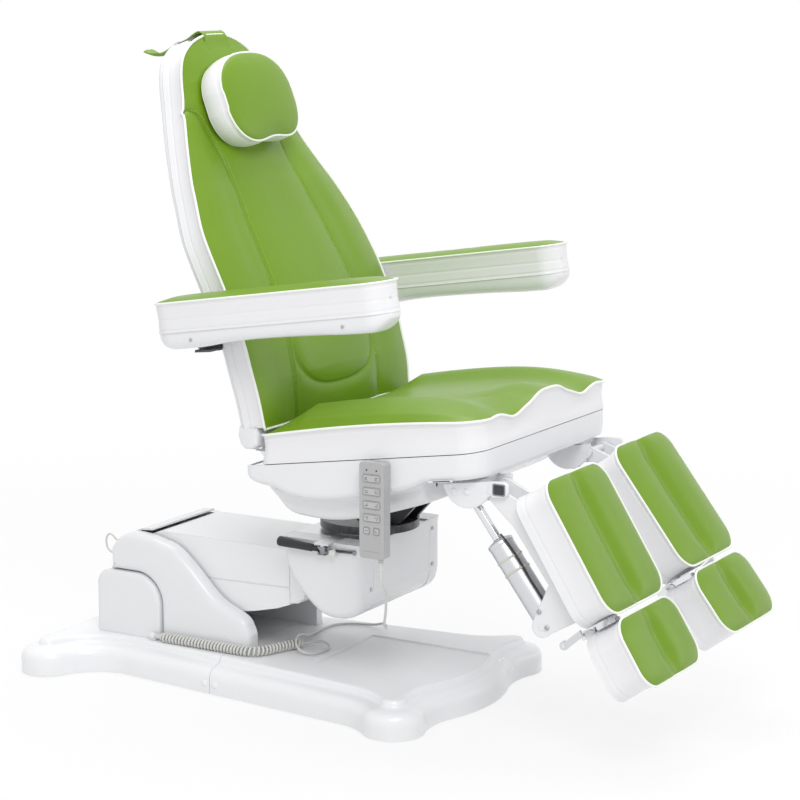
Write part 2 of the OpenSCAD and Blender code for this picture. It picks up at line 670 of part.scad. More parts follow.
module swivel_plate() color(dark) {
  translate([0, -swivel_f, disc_z]) cylinder(h = swivel_t, r = swivel_r, $fn = 96);
  // Bearing neck in the head plate
  neck_z = head_top - head_plate_t - head_drop;
  translate([0, -swivel_f, neck_z]) cylinder(h = disc_z - neck_z + bite, r = shaft_r*2);
  // Lugs and pin of the seat tilt
  slabs(lug_x, lug_x + lug_t, [[swivel_f - lug_r*0.7, disc_z + swivel_t - bite],
    [swivel_f + swivel_r - lug_r, disc_z + swivel_t - bite], tilt_place + lug_r*[1.15, -1], tilt_place + lug_r*[1, 0.95],
    tilt_place + lug_r*[-1, 1], [swivel_f + lug_r*1.4, disc_z + swivel_t + lug_r*1.6]]);
  bar(-lug_x - 2*lug_t - lug_end, lug_x + 2*lug_t + lug_end, tilt_place, link_pin_r);
}

// Seat
seat_corner = 52;
seat_rise = tan(seat_tilt);
// Height of the line between cushion and shell at a forward place
seat_line_f = 22;
function seat_line(f) = seat_line_z + seat_rise*(f - seat_line_f);
module seat_plan(e, z0, z1, front) {
  // Plan of the seat with round front corners, drawn in by e
  r = seat_corner - e;
  translate([0, 0, z0]) linear_extrude(z1 - z0) mirror([0, 1, 0]) {
    translate([-seat_half + e, -cut*4]) square([2*(seat_half - e), front - seat_corner + cut*4]);
    translate([-seat_half + seat_corner, 0]) square([2*(seat_half - seat_corner), front - e]);
    for (x = [-1, 1]) translate([x*(seat_half - seat_corner), front - seat_corner]) circle(r);
  }
}
seat_plate_t = 6;
bracket_f = 505;
// Widths that keep together with the seat's
bracket_inset = 118;
bracket_side = 35;
tub_inset = 46;
ear_inset = 90;
back_over = 2;
rest_over = 12;
pad_inset = 13;
bracket_x0 = seat_half - bracket_inset;
tub_half = seat_half - tub_inset;
ear_x = seat_half - ear_inset;
back_half = seat_half + back_over;
rest_inner = seat_half + rest_over;
pad_w = seat_half - pad_inset - pad_inner;
shell_back = 3;
shell_front = seat_front - shell_back;
shell_rear = 2;
shell_depth = 80;
// Height of the shell's lip under the front corners, and where it starts behind the leg brackets
shell_lip = 54;
lip_start = 78;
tub_depth = 133;
// Undersides of shell and tub: share of the way forward to the seat's front, and share of the depth
shell_shares = [[0.015, 0.33], [0.073, 0.51], [0.139, 0.625], [0.204, 0.85], [0.292, 0.975], [0.422, 1], [0.542, 0.95], [0.73, 0.825]];
tub_shares = [[0.055, 0.226], [0.069, 0.42], [0.131, 0.797], [0.204, 0.917], [0.343, 1], [0.507, 0.955], [0.719, 0.797],
  [0.847, 0.647], [0.94, 0.466], [0.94, 0.226]];
function under(shares, depth) = [for (s = shares) let (f = s[0]*seat_front) [f, seat_line(f) - s[1]*depth]];
shell_line = concat([[shell_rear, seat_line(shell_rear) - soft_gap]], under(shell_shares, shell_depth),
  [[bracket_f - lip_start, seat_line(bracket_f - lip_start) - shell_lip]]);
tub_line = under(tub_shares, tub_depth);
function shell_side(e) = concat(e > 0 ? [shell_line[0] + [e, cut]] : [], beside(shell_line, -e),
  [[shell_front - e, seat_line(shell_front) - shell_lip + e], [shell_front - e, seat_line(shell_front) - soft_gap + (e > 0 ? cut : 0)]]);
function tub_side(e) = concat(e > 0 ? [tub_line[0] + [e, cut]] : [], beside(tub_line, -e),
  e > 0 ? [tub_line[len(tub_line) - 1] + [-e, cut]] : []);
tub_front_half = bracket_x0 - bracket_side;
tub_step_f = 428;
// Recess beside the front of the tub, for the leg brackets
module tub_notch(e) {
  both() translate([tub_front_half - e, -shell_front - cut, disc_z])
    cube([seat_half, shell_front + cut - tub_step_f + e, 3*seat_t]);
}
module seat_shell() color(white) {
  difference() {
    union() {
      intersection() {
        slab(-seat_half, seat_half, shell_side(0));
        seat_plan(0, seat_line_z - 3*seat_t, seat_line_z + 3*seat_t, shell_front);
      }
      difference() {
        slab(-tub_half, tub_half, tub_side(0));
        tub_notch(0);
      }
    }
    intersection() {
      slab(-seat_half + shell_wall, seat_half - shell_wall, shell_side(shell_wall));
      seat_plan(shell_wall, seat_line_z - 3*seat_t, seat_line_z + 3*seat_t, shell_front);
    }
    difference() {
      slab(-tub_half + shell_wall, tub_half - shell_wall, tub_side(shell_wall));
      tub_notch(shell_wall);
    }
    // Posts of the bracket plates, and the pocket of the handset hook
    both() translate([tip_x - post_w/2 - seam_gap, -bracket_f - post_w/2 - seam_gap, bracket_place[1] - cut])
      cube([post_w + 2*seam_gap, post_w + 2*seam_gap, seat_t]);
    round_slab(-handset_x - cut, -handset_x + shell_wall + 3*soft_gap, hook_place - [1, 1]*soft_gap,
      hook_place + [hook_w + soft_gap, hook_h + soft_gap], hook_h*0.2);
    // Way through for the tilt lugs
    translate([-lug_x*2.4, -tilt_f - lug_room, disc_z])
      cube([lug_x*4.8, lug_room + lug_back, seat_line_z - disc_z - shell_depth/2]);
  }
}
lug_room = 46;
lug_back = 200;
post_w = 16;
ear_r = 12;
ear_t = 9;
recline_r = 7;
rail_t = 4;
// Height of the top of the polished plates, under the shell
function rail_z(f) = seat_line(f) - shell_lip - 2*soft_gap;
pin_drop = 16;
pin_r = 8;
plate_drop = 1;
plate_ahead = 20;
plate_in = 12;
tip_x = bracket_x0 + bracket_half;
bracket_place = [bracket_f, rail_z(bracket_f) - rail_t];
// Reach of the polished plates: outwards, inwards, rearwards and forwards of the upright pin
rail_out = 10;
rail_inward = 50;
rail_back = 66;
rail_ahead = 30;
recline_place = [recline_f, recline_z];
function low(f) = seat_line(f) - plate_drop - seat_plate_t;
module seat_frame() color(steel) {
  plate_end = shell_front - plate_in;
  ahead = [plate_ahead + ear_r, seat_line(plate_ahead) - plate_drop];
  difference() {
    union() {
      // Seat plate
      intersection() {
        slab(-seat_half + 2*shell_wall, seat_half - 2*shell_wall, [[plate_ahead, low(plate_ahead) + seat_plate_t],
          [plate_ahead, low(plate_ahead)], [plate_end, low(plate_end)], [plate_end, low(plate_end) + seat_plate_t]]);
        seat_plan(2*shell_wall, seat_line_z - seat_t, seat_line_z + 3*seat_t, shell_front);
      }
      // Ears of the tilt pin
      slabs(lug_x + lug_t + lug_gap, lug_x + 2*lug_t + lug_gap, [[tilt_f - lug_r*2.9, low(tilt_f - lug_r*2.9) + bite],
        [tilt_f + lug_r*2.9, low(tilt_f + lug_r*2.9) + bite], tilt_place + lug_r*[1.1, -0.95],
        tilt_place - lug_r*[1.1, 0.95]]);
      // Ears of the recline pin, behind the seat
      slabs(ear_x, ear_x + ear_t, [ahead, ahead - [0, seat_plate_t], [recline_f + ear_r/2, seat_line(0) + bite],
        recline_place + ear_r*[-1.08, -1], recline_place + ear_r*[-0.92, 1], recline_place + ear_r*[1, 1],
        [plate_ahead - ear_r/3, seat_line(plate_ahead) + ear_r/3]]);
    }
    bar(-lug_x*3, lug_x*3, tilt_place, link_pin_r + run_gap);
  }
  both() bar(ear_x - bite, ear_x + 2*ear_t + 2*pin_over, recline_place, recline_r);
  // Polished plates under the front corners, each with the upright pin of a leg bracket
  both() {
    slab(-tip_x - rail_out, -tip_x + rail_inward, [for (p = [[-rail_back, 0], [-rail_back, -rail_t], [rail_ahead, -rail_t],
      [rail_ahead, 0]]) [bracket_f + p[0], rail_z(bracket_f + p[0]) + p[1]]]);
    translate([-tip_x, -bracket_place[0], bracket_place[1]]) rotate([-seat_tilt, 0, 0]) translate([0, 0, -pin_drop])
      cylinder(h = pin_drop + rail_t/2, r = pin_r);
    translate([-tip_x - post_w/2, -bracket_f - post_w/2, rail_z(bracket_f) - rail_t/2]) cube([post_w, post_w, shell_lip]);
  }
}

// Heights of the sitting face above the piping, across the seat and along it
seat_across_shares = [-0.94, -0.8, -0.66, -0.5, -0.33, -0.16, 0, 0.16, 0.33, 0.5, 0.66, 0.8, 0.94];
seat_bolster = 23;
seat_pommel = 24;
seat_trough = 14;
// How far the bolster, the pommel and the thigh troughs rise at station v
function seat_face(s, v) =
  seat_bolster*exp(-pow((abs(s) - 0.7)/0.22, 2))*min(1, max(0, v - 0.04)*7)*(1 - pow(v, 7))
  + seat_bolster*0.5*(1 - pow(s, 4))*min(1, max(0, v - 0.04)*7)*(1 - pow(v, 7))
  + seat_pommel*exp(-pow(s/0.2, 2))*pow(v, 6)
  - seat_trough*exp(-pow((abs(s) - 0.55)/0.22, 2))*pow(v, 9);
seat_station_shares = [0, 0.03, 0.09, 0.18, 0.3, 0.45, 0.6, 0.72, 0.82, 0.89, 0.94, 0.975, 1];
seat_crown = 8;
function seat_top(f) = seat_line(f) + seat_t + seat_crown*sin(180*min(1, max(0, (f - seat_rear)/(seat_front - seat_rear))));
function seat_w(v) =
  let (u = (1 - v)*(seat_front - seat_rear))
  u >= seat_corner ? seat_half : seat_half - seat_corner + sqrt(seat_corner*seat_corner - pow(seat_corner - u, 2));
seat_draw = 5;
function seat_ring(v) =
  let (f = seat_rear + v*(seat_front - seat_rear), w = seat_w(v), low = seat_line(f) + soft_gap, top = seat_top(f)) concat(
  [[-w + seat_draw/2, -f, low], [-w + seat_draw, -f, low + seat_t*0.5], [-w, -f, top]],
  [for (s = seat_across_shares) [s*w, -f, top + seat_face(s, v)]],
  [[w, -f, top], [w - seat_draw, -f, low + seat_t*0.5], [w - seat_draw/2, -f, low], [0, -f, low]]);
module seat_cushion() color(green) loft([for (v = seat_station_shares) seat_ring(v)]);

// Back
back_foot_f = 51;
back_foot_z = 603;
// Each station: share of the height, share of the setback and share of the half width
back_shares = [[0, 0, 0.96], [0.078, 0.029, 0.985], [0.155, 0.081, 0.995], [0.233, 0.139, 1], [0.355, 0.274, 1], [0.447, 0.397, 0.985],
  [0.509, 0.485, 0.955], [0.583, 0.584, 0.88], [0.632, 0.655, 0.82], [0.719, 0.765, 0.705], [0.814, 0.861, 0.597],
  [0.899, 0.94, 0.508], [0.945, 0.978, 0.427], [0.976, 1, 0.31], [0.992, 1.01, 0.2], [1, 1.015, 0.1]];
back_line = [for (s = back_shares) [back_foot_f - back_set*s[1], back_foot_z + back_h*s[0]]];
back_widths = [for (s = back_shares) back_half*s[2]];
// The back line moved behind the piping by d
function behind(d) = beside(back_line, -d);
back_across_shares = [-0.93, -0.78, -0.6, -0.4, -0.2, 0, 0.2, 0.4, 0.6, 0.78, 0.93];
back_crown = 15;
back_valley = 7;
back_draw = 6;
back_lumbar = 12;
// Height of the front face over the piping: crowned, with a seam valley on each side and a lumbar roll low down
function back_face(s, v) = back_crown*(1 - pow(s, 4))*min(1, 6*v + 0.3)*min(1, (1 - v)*8)
  - back_valley*exp(-pow((abs(s) - 0.6)/0.13, 2))*(1 - pow(v, 4))
  + back_lumbar*exp(-pow(s/0.5, 2))*exp(-pow((v - 0.2)/0.13, 2));
function back_point(i, x, d) =
  let (p = beside(back_line, d)[i]) [x, -p[0], p[1]];
function back_ring(i) =
  let (w = back_widths[i], v = back_shares[i][0]) concat(
  [back_point(i, -w + back_draw, -back_t), back_point(i, -w + back_draw*0.7, -back_t/2), back_point(i, -w, 0)],
  [for (s = back_across_shares) back_point(i, s*w, back_face(s, v))],
  [back_point(i, w, 0), back_point(i, w - back_draw*0.7, -back_t/2), back_point(i, w - back_draw, -back_t), back_point(i, 0, -back_t)]);
module back_cushion() color(green) loft([for (i = [len(back_line) - 1:-1:0]) back_ring(i)]);
// Front outline of the back, drawn in by e, extruded through its depth
module back_outline(e) {
  right = [for (i = [0:len(back_line) - 1]) [max(cut, back_widths[i] - e), back_line[i][1] + (i == 0 ? -recline_r : 0)
    - (i == len(back_line) - 1 ? e : 0)]];
  translate([0, back_set*2, 0]) rotate([90, 0, 0]) linear_extrude(back_set*3)
    polygon(concat(right, mirrored(right)));
}
shell_gap = 1;
lug_slot = [18, 90, 60];
ear_slot = [18, 70, 150];
module back_shell() color(white) {
  difference() {
    intersection() {
      slab(-back_half, back_half, concat(behind(back_t + shell_gap), reversed(behind(back_t + back_shell_t))));
      back_outline(back_draw*0.8);
    }
    intersection() {
      slab(-back_half, back_half, concat(behind(back_t), reversed(behind(back_t + back_shell_t - wall))));
      back_outline(back_draw + wall);
    }
    // Ways through for the armrest lugs and the recline ears
    both() translate([tube_lug_x - lug_slot[0]/2, rest_pivot_f - lug_slot[1]*0.78, rest_pivot_z - lug_slot[2]/2])
      cube(lug_slot);
    both() translate([ear_x + 1.5*ear_t + seam_gap - ear_slot[0]/2, -back_foot_f - cut, recline_z - ear_slot[2]/5])
      cube(ear_slot + [0, back_foot_f, 0]);
  }
}
tube_lug_x = 150;
tube_r = 9;
tube_lug_t = 10;
back_plate_in = 5;
back_plate_t = 5;
// Space of the back cushion, seen from the side
module cushion_room() {
  slab(-back_half, back_half, concat(behind(back_t + shell_gap), reversed(behind(-back_t))));
}
module back_frame() color(steel) {
  intersection() {
    slab(-back_half, back_half, concat(behind(back_t + back_plate_in), reversed(behind(back_t + back_plate_in + back_plate_t))));
    back_outline(back_draw + 5*wall);
  }
  // Ears on the recline pins
  difference() {
    slabs(ear_x + ear_t + seam_gap, ear_x + 2*ear_t + seam_gap, [recline_place - ear_r*[1.1, 1], recline_place + ear_r*[1.1, -1],
      recline_place + ear_r*[1.15, 1], [-ear_r/2, back_foot_z + ear_r*2.5], [-ear_r*1.33, back_foot_z + ear_r*5],
      [-ear_r*2.5, back_foot_z + ear_r*3.3]]);
    bar(-ear_x*2, ear_x*2, recline_place, recline_r + run_gap);
    cushion_room();
  }
  // Cross tube of the armrests on two lugs
  difference() {
    slabs(tube_lug_x - tube_lug_t/2, tube_lug_x + tube_lug_t/2, [for (p = [[-1.3, -1.1], [-1.1, 1.3], [6.2, 2.4], [6.7, -2.2]])
      rest_hub + p*tube_r]);
    cushion_room();
  }
  bar(-rest_inner - hub_len, rest_inner + hub_len, rest_hub, tube_r);
}

// Head pillow and its strap
// Leaning line of the head area, from a low to a high station of the back
head_station_shares = [0.6, 0.8];
head_at_low = round(head_station_shares[0]*(len(back_line) - 1));
head_at_high = round(head_station_shares[1]*(len(back_line) - 1));
head_base = back_line[head_at_low];
head_up = unit(back_line[head_at_high] - head_base);
head_out = [head_up[1], -head_up[0]];
function head_at(a, d) = head_base + a*head_up + d*head_out;
// Pillow rings lie across its width; each has a share of the height and of the thickness
pillow_ring_shares = [[-1, 0.5, 0.5], [-0.95, 0.72, 0.72], [-0.84, 0.88, 0.88], [-0.6, 0.98, 0.97], [-0.3, 1, 1], [0, 1, 1],
  [0.3, 1, 1], [0.6, 0.98, 0.97], [0.84, 0.88, 0.88], [0.95, 0.72, 0.72], [1, 0.5, 0.5]];
// Section of the pillow: share of the height and share of the thickness
pillow_section_shares = [[0.06, 0], [0, 0.22], [0, 0.5], [0.07, 0.82], [0.2, 0.97], [0.4, 1], [0.6, 1], [0.8, 0.95], [0.94, 0.78],
  [1, 0.5], [1, 0.22], [0.94, 0], [0.5, 0]];
strap_t = 2.6;
pillow_notch_share = 0.14;
pillow_rear = back_crown + strap_t + soft_gap*0.4;
// The pillow hangs this far below the start of the leaning line
pillow_drop = 30;
function pillow_ring(s) = [for (p = pillow_section_shares)
  let (rise = pillow_notch_share*exp(-pow(s[0]/0.32, 2))*(1 - p[0]),
    h = pillow_h*(0.5 + (p[0] + rise - 0.5)*s[1]),
    q = head_at(h - pillow_drop, pillow_rear + p[1]*pillow_t*s[2]))
  [s[0]*pillow_half, -q[0], q[1]]];
module head_pillow() color(green) loft([for (s = pillow_ring_shares) pillow_ring(s)]);
strap_w = 84;
strap_over = 10;
strap_tail = 104;
tail_shares = [[0, 0], [0.15, 0.04], [0.36, -0.05], [0.58, -0.17], [0.8, -0.18], [1, -0.1]];
back_end = back_line[len(back_line) - 1];
strap_behind = back_t + back_shell_t + strap_over*0.7;
strap_rear = back_end - strap_behind*head_out;
strap_line = concat(
  [for (i = [head_at_low + 1:len(back_line) - 1])
    beside(back_line, back_face(0, back_shares[i][0]) + soft_gap)[i]],
  [for (k = [0.1, 0.35, 0.65, 0.9]) back_end - k*strap_behind*head_out + strap_over*head_up],
  [for (t = tail_shares) strap_rear + strap_tail*[-t[0], t[1]]]);
module head_strap() color(green) slab(-strap_w/2, strap_w/2, band(strap_line, strap_t, 0));

// Armrests
rest_shell_t = 36;
rest_pivot_f = 106;
rest_len = (rest_front + rest_rear)/cos(seat_tilt);
rest_corner = rest_w*0.42;
rest_crown = 9;
rest_draw = 3;
rest_station_shares = [0, 0.012, 0.04, 0.085, 0.2, 0.5, 0.8, 0.915, 0.96, 0.988, 1];
// Draws in the frame of an armrest: origin at the rear end of its top line, forward along -Y
module rest_place(side) {
  mirror([side < 0 ? 0 : 1, 0, 0]) translate([-rest_inner - rest_w/2, rest_rear, rest_z]) rotate([-seat_tilt, 0, 0]) children();
}
module rest_cushion(side) color(green) rest_place(side)
  pad(rest_w/2, rest_len, rest_t, rest_corner, rest_crown, 0, rest_draw, rest_station_shares);
// Lower edge of the shell: share of the length, and share of the shell's depth below the cushion
rest_low_shares = [[0.004, 0.02], [0.025, 0.7], [0.055, 0.97], [0.11, 1], [0.2, 0.97], [0.31, 0.82], [0.45, 0.8], [0.68, 0.88], [0.8, 0.98],
  [0.9, 1], [0.935, 0.96], [0.97, 0.62], [0.996, 0.03]];
rest_inset = 3;
function rest_shell_outline(e) = concat(
  [for (s = rest_low_shares) [s[0]*rest_len + (0.5 - s[0])*2*e, -rest_t - soft_gap/2 - rest_shell_t*s[1] + e]],
  [[rest_len*rest_low_shares[12][0] - e, -rest_t - soft_gap/2 + (e > 0 ? cut + e : 0)],
    [rest_len*rest_low_shares[0][0] + e, -rest_t - soft_gap/2 + (e > 0 ? cut + e : 0)]]);
// The armrest pivot in the frame of the armrest
rest_turn = [cos(seat_tilt), sin(seat_tilt)];
rest_pin = [(rest_rear - rest_pivot_f)*rest_turn[0] + (rest_pivot_z - rest_z)*rest_turn[1],
  -(rest_rear - rest_pivot_f)*rest_turn[1] + (rest_pivot_z - rest_z)*rest_turn[0]];
hub_len = 62;
rest_hub = [-rest_pivot_f, rest_pivot_z];
hub_wall = 5.2;
module rest_plan(e) {
  // Plan of the armrest shell, with round ends
  translate([0, 0, -rest_t - 2*rest_shell_t]) linear_extrude(rest_t + 2*rest_shell_t) mirror([0, 1, 0]) hull()
    for (x = [-1, 1], y = [rest_corner, rest_len - rest_corner])
      translate([x*(rest_w/2 - rest_inset - rest_corner), y]) circle(rest_corner - e, $fn = 32);
}
module rest_shell(side) color(white) rest_place(side) difference() {
  union() {
    difference() {
      slab(-rest_w/2 + rest_inset, rest_w/2 - rest_inset, rest_shell_outline(0));
      slab(-rest_w/2 + rest_inset + wall, rest_w/2 - rest_inset - wall, rest_shell_outline(wall));
    }
    // Bearing of the pivot
    bar(rest_w/2 - rest_inset - hub_len, rest_w/2 - rest_inset, rest_pin, tube_r + hub_wall);
  }
  bar(rest_w/2 - rest_inset - hub_len - cut, rest_w, rest_pin, tube_r + run_gap);
}
stop_t = 12;
stop_r = 20;
stop_share = 3.1;
module rest_bracket(side) color(steel) mirror([side < 0 ? 0 : 1, 0, 0]) difference() {
  union() {
    // Hub on the cross tube, inside the armrest
    slab(-rest_inner + soft_gap, -rest_inner + soft_gap + stop_t, concat(arc(rest_hub, stop_r, 60, 240, 10),
      [rest_hub + stop_r*[1, -1.55], rest_hub + stop_r*[stop_share, -1.35], rest_hub + stop_r*[stop_share, -0.85]]));
    // Stop under the shell
    slab(-rest_inner - rest_w*0.3, -rest_inner + soft_gap + stop_t, [for (p = [[1.2, -1.5], [stop_share, -1.3],
      [stop_share, -1.05], [1.2, -1.25]]) rest_hub + stop_r*p]);
  }
  bar(-rest_inner - cut, 0, rest_hub, tube_r + run_gap);
}

// Legs
knee_drop = 40;
knee = [knee_f, knee_z];
// Centre of a leg bracket, out from the middle
leg_x = bracket_x0 + bracket_half;
function slope_of(side) = side < 0 ? near_slope_angle : far_slope_angle;
// Draws in the frame of a leg: origin at the top edge of the pad face, -Y down the pad, -Z behind it
module leg_place(side) {
  mirror([side < 0 ? 0 : 1, 0, 0]) translate([0, -knee_f, knee_z]) rotate([slope_of(side), 0, 0])
    translate([0, -knee_drop, knee_depth]) children();
}
pad_x = pad_inner + pad_w/2;
pad_gap = 13;
pad_corner = 42;
pad_crown = 9;
pad_trough = 15;
pad_draw = 6;
calf_station_shares = [0, 0.02, 0.07, 0.15, 0.3, 0.5, 0.7, 0.85, 0.94, 0.98, 1];
foot_station_shares = [0, 0.035, 0.12, 0.29, 0.5, 0.71, 0.88, 0.965, 1];
module calf(side) color(green) leg_place(side) translate([-pad_x, 0, 0])
  pad(pad_w/2, calf_len, pad_t, pad_corner, pad_crown, pad_trough, pad_draw, calf_station_shares);
// Frame plates lie behind the pad
leg_plate_t = 6;
actuator_pin_r = shaft_r*0.7;
plate_d = pad_t + play;
leg_knee = [-knee_drop, -knee_depth];
actuator_foot = [calf_len*0.85, -knee_depth*1.3];
knee_r = 8;
knee_hub_r = 13;
wrist_r = 21;
arm_t = 9;
arm_gap = 0.6;
sleeve_r = 11;
slide_r = 7;
slide_d = plate_d + leg_plate_t + sleeve_r;
slide_x = 48;
slide_in = 24.5;
slide_mid = leg_x - bracket_half - slide_in;
// Sleeves and rods of the foot slide, from a share of the calf pad's length
module slide_rods(share, len, r) {
  for (x = [slide_x - slide_mid, -slide_mid]) translate([x, -calf_len*share, -slide_d]) rotate([90, 0, 0]) cylinder(h = len, r = r);
}
module leg_frame(side) color(white) leg_place(side) {
  difference() {
    union() {
      for (x = [-leg_x - bracket_half + arm_gap, -leg_x + bracket_half - arm_gap - arm_t]) {
        // Side plate from the knee to the foot of the actuator
        slab(x, x + arm_t, concat(arc(leg_knee, knee_hub_r, 130, 290, 8),
          [[calf_len*0.16, -plate_d*1.5], [calf_len*0.62, -plate_d*1.38]],
          arc(actuator_foot, wrist_r, 220, 380, 8),
          [[calf_len*0.93, -plate_d], [calf_len*0.04, -plate_d]]));
      }
      // Plate under the pad
      slab(-leg_x - bracket_half + arm_gap, -pad_inner - pad_w*0.2, [[calf_len*0.06, -plate_d],
        [calf_len*0.06, -plate_d - leg_plate_t], [calf_len*0.94, -plate_d - leg_plate_t], [calf_len*0.94, -plate_d]]);
      slide_rods(0.55, calf_len*0.38, sleeve_r);
    }
    bar(-leg_x*2, 0, leg_knee, knee_r + run_gap);
    slide_rods(0.5, calf_len*0.5, slide_r + run_gap);
  }
  // Pin of the actuator
  bar(-leg_x - bracket_half, -leg_x + bracket_half, actuator_foot, actuator_pin_r);
}

// Bracket between seat and leg, with its upright pin square to the seat plate
function tilted(place, a) = place + [a[0]*rest_turn[0] - a[1]*rest_turn[1], a[0]*rest_turn[1] + a[1]*rest_turn[0]];
cheek_t = 9;
bracket_r = 53;
bracket_wall = 5;
bracket_top_t = 10;
module leg_bracket(side) color(white) mirror([side < 0 ? 0 : 1, 0, 0]) {
  difference() {
    union() {
      for (x = [-leg_x - bracket_half - cheek_t, -leg_x + bracket_half]) slab(x, x + cheek_t, concat(
        [for (p = arc([0, 0], bracket_r, 182, 358, 18)) tilted(bracket_place, [p[0], min(p[1], -play)])]));
      for (x = [-leg_x - bracket_half - cheek_t, -leg_x + bracket_half]) bar(x, x + cheek_t, knee, knee_r*1.45);
      // Top wall on the pin
      slab(-leg_x - bracket_half - bite, -leg_x + bracket_half + bite, [for (p = [[-0.9, 0], [-0.9, -1], [0.46, -1], [0.46, 0]])
        tilted(bracket_place, [p[0]*bracket_r, -play + p[1]*bracket_top_t])]);
      // Rear wall
      slab(-leg_x - bracket_half - bite, -leg_x + bracket_half + bite, [for (p = concat(arc([0, 0], bracket_r, 184, 218, 5),
        arc([0, 0], bracket_r - bracket_wall, 218, 184, 5))) tilted(bracket_place, [p[0], min(p[1], -play)])]);
    }
    // Bore of the upright pin
    translate([-leg_x, -bracket_place[0], bracket_place[1]]) rotate([-seat_tilt, 0, 0])
      translate([0, 0, -bracket_r]) cylinder(h = bracket_r + cut, r = pin_r + run_gap);
  }
  bar(-leg_x - bracket_half - pin_over, -leg_x + bracket_half + pin_over, knee, knee_r);
}

// Actuator of a leg, from its foot on the leg to its upper end inside the bracket
actuator_reach = [57, 28];
actuator_top = knee - actuator_reach;
// The upper end in the frame of the near leg
function in_leg(p, side) =
  let (s = slope_of(side), f = p[0] - knee_f, z = p[1] - knee_z)
  [f*cos(s) - z*sin(s) - knee_drop, f*sin(s) + z*cos(s) - knee_depth];
function leg_run(side) = norm(in_leg(actuator_top, side) - actuator_foot);
function leg_aim(side) = let (v = in_leg(actuator_top, side) - actuator_foot) atan2(v[1], v[0]);
leg_rod_r = 9;
leg_tube_r = 26;
leg_tube_share = 0.66;
tie_shares = [0.63, 0.78];
tie_w = 5;
tie_t = 0.7;
leg_run_least = 283;
leg_bore = leg_rod_r + run_gap;
module leg_tube(side) color(steel) leg_place(side) difference() {
  translate([-leg_x, 0, 0]) along_line(actuator_foot, leg_aim(side)) {
    translate([0, 0, wrist_r*0.8])
      cylinder(h = leg_run_least*leg_tube_share - wrist_r*0.8, r = leg_tube_r);
    cylinder(h = wrist_r, r = leg_tube_r*0.6);
    for (s = tie_shares) translate([0, 0, s*leg_run_least*leg_tube_share]) cylinder(h = tie_w, r = leg_tube_r + tie_t);
  }
  translate([-leg_x, 0, 0]) along_line(actuator_foot, leg_aim(side)) translate([0, 0, wrist_r*1.15])
    cylinder(h = leg_run_least, r = leg_bore);
  bar(-2*leg_x, 0, actuator_foot, actuator_pin_r + run_gap);
}
module leg_rod(side) color(steel) leg_place(side) translate([-leg_x, 0, 0]) along_line(actuator_foot, leg_aim(side)) {
  translate([0, 0, wrist_r*1.7]) cylinder(h = leg_run(side) - wrist_r*1.7, r = leg_rod_r);
  translate([0, 0, leg_run(side) - leg_rod_r]) cylinder(h = leg_rod_r*2, r = leg_rod_r*1.3);
}

// Foot carriage, sliding down the leg
pin_small = 5;
foot_pin = [calf_len + pad_gap - seam_gap, -plate_d*1.3];
foot_shaft = [calf_len + pad_gap - pin_small, -plate_d*1.49];
block_half = 44;
block_len = 18;
block_drop = 40;
block_gap = 10;
lug_w = 8;
lever_t = 7;
lever_len = 46;
lever_out = 2.5;
block_in = block_half + slide_x*0.2 - slide_mid;
module foot_carriage(side) color(steel) leg_place(side) {
  slab(-slide_mid - block_half, block_in, placed([[0, 0], [0, 1], [1, 1], [1, 0]], [calf_len, -plate_d - block_gap],
    [calf_len + block_len, -plate_d - block_gap - block_drop]));
  slide_rods(0.3, calf_len*0.7 + pin_over, slide_r);
  // Pin of the foot pad and shaft of the clamp lever
  bar(-slide_mid - block_half - lug_w - pin_small, block_in + lug_w + pin_small, foot_pin, pin_small);
  bar(-pad_inner - pad_w - lever_out - lever_t - bite, -slide_mid - block_half + bite, foot_shaft, pin_small*0.8);
}
foot_more = 4;
foot_t = pad_t + foot_more;
foot_plate_t = 5;
foot_a = calf_len + pad_gap + block_len*0.45;
foot_b = calf_len + pad_gap + foot_len*0.9;
module foot_cushion(side) color(green) leg_place(side) {
  translate([-pad_x, -calf_len - pad_gap, 0])
    pad(pad_w/2, foot_len, foot_t, pad_corner, pad_crown, pad_trough, pad_draw, foot_station_shares);
  difference() {
    union() {
      slab(-slide_mid - block_half - lug_w - 2*bite, block_in + lug_w + 2*bite, [[foot_a, -foot_t - play],
        [foot_a, -foot_t - play - foot_plate_t], [foot_b, -foot_t - play - foot_plate_t], [foot_b, -foot_t - play]]);
      for (x = [-slide_mid - block_half - lug_w - bite, block_in + bite]) slab(x, x + lug_w, concat(
        arc(foot_pin, pin_small*1.8, 110, 290, 8),
        [[calf_len + pad_gap + foot_len*0.3, -foot_t - play - foot_plate_t], [foot_a, -foot_t - play]]));
    }
    bar(-2*pad_w, 0, foot_pin, pin_small + run_gap);
  }
}
module foot_lever(side) color(dark) leg_place(side) difference() {
  x = -pad_inner - pad_w - lever_out - lever_t;
  union() {
    bar(x, x + lever_t, foot_shaft, pin_small*1.8);
    slab(x, x + lever_t, [foot_shaft + [-pin_small, 0], foot_shaft + [pin_small*1.7, 0],
      foot_shaft + [pin_small*0.2, lever_len], foot_shaft + [-pin_small*2.4, lever_len]]);
  }
  bar(x - cut, x + 2*cut, foot_shaft, pin_small*0.8 + run_gap);
}

// Handset
handset_gap = 2;
handset_x = seat_half + handset_gap;
handset_top = handset_z + handset_h;
face = -handset_x - handset_t;
key_gap = 0.5;
key_stroke = 1;
key_proud = 0.9;
key_deep = 4;
pocket_deep = key_deep + key_stroke + key_gap;
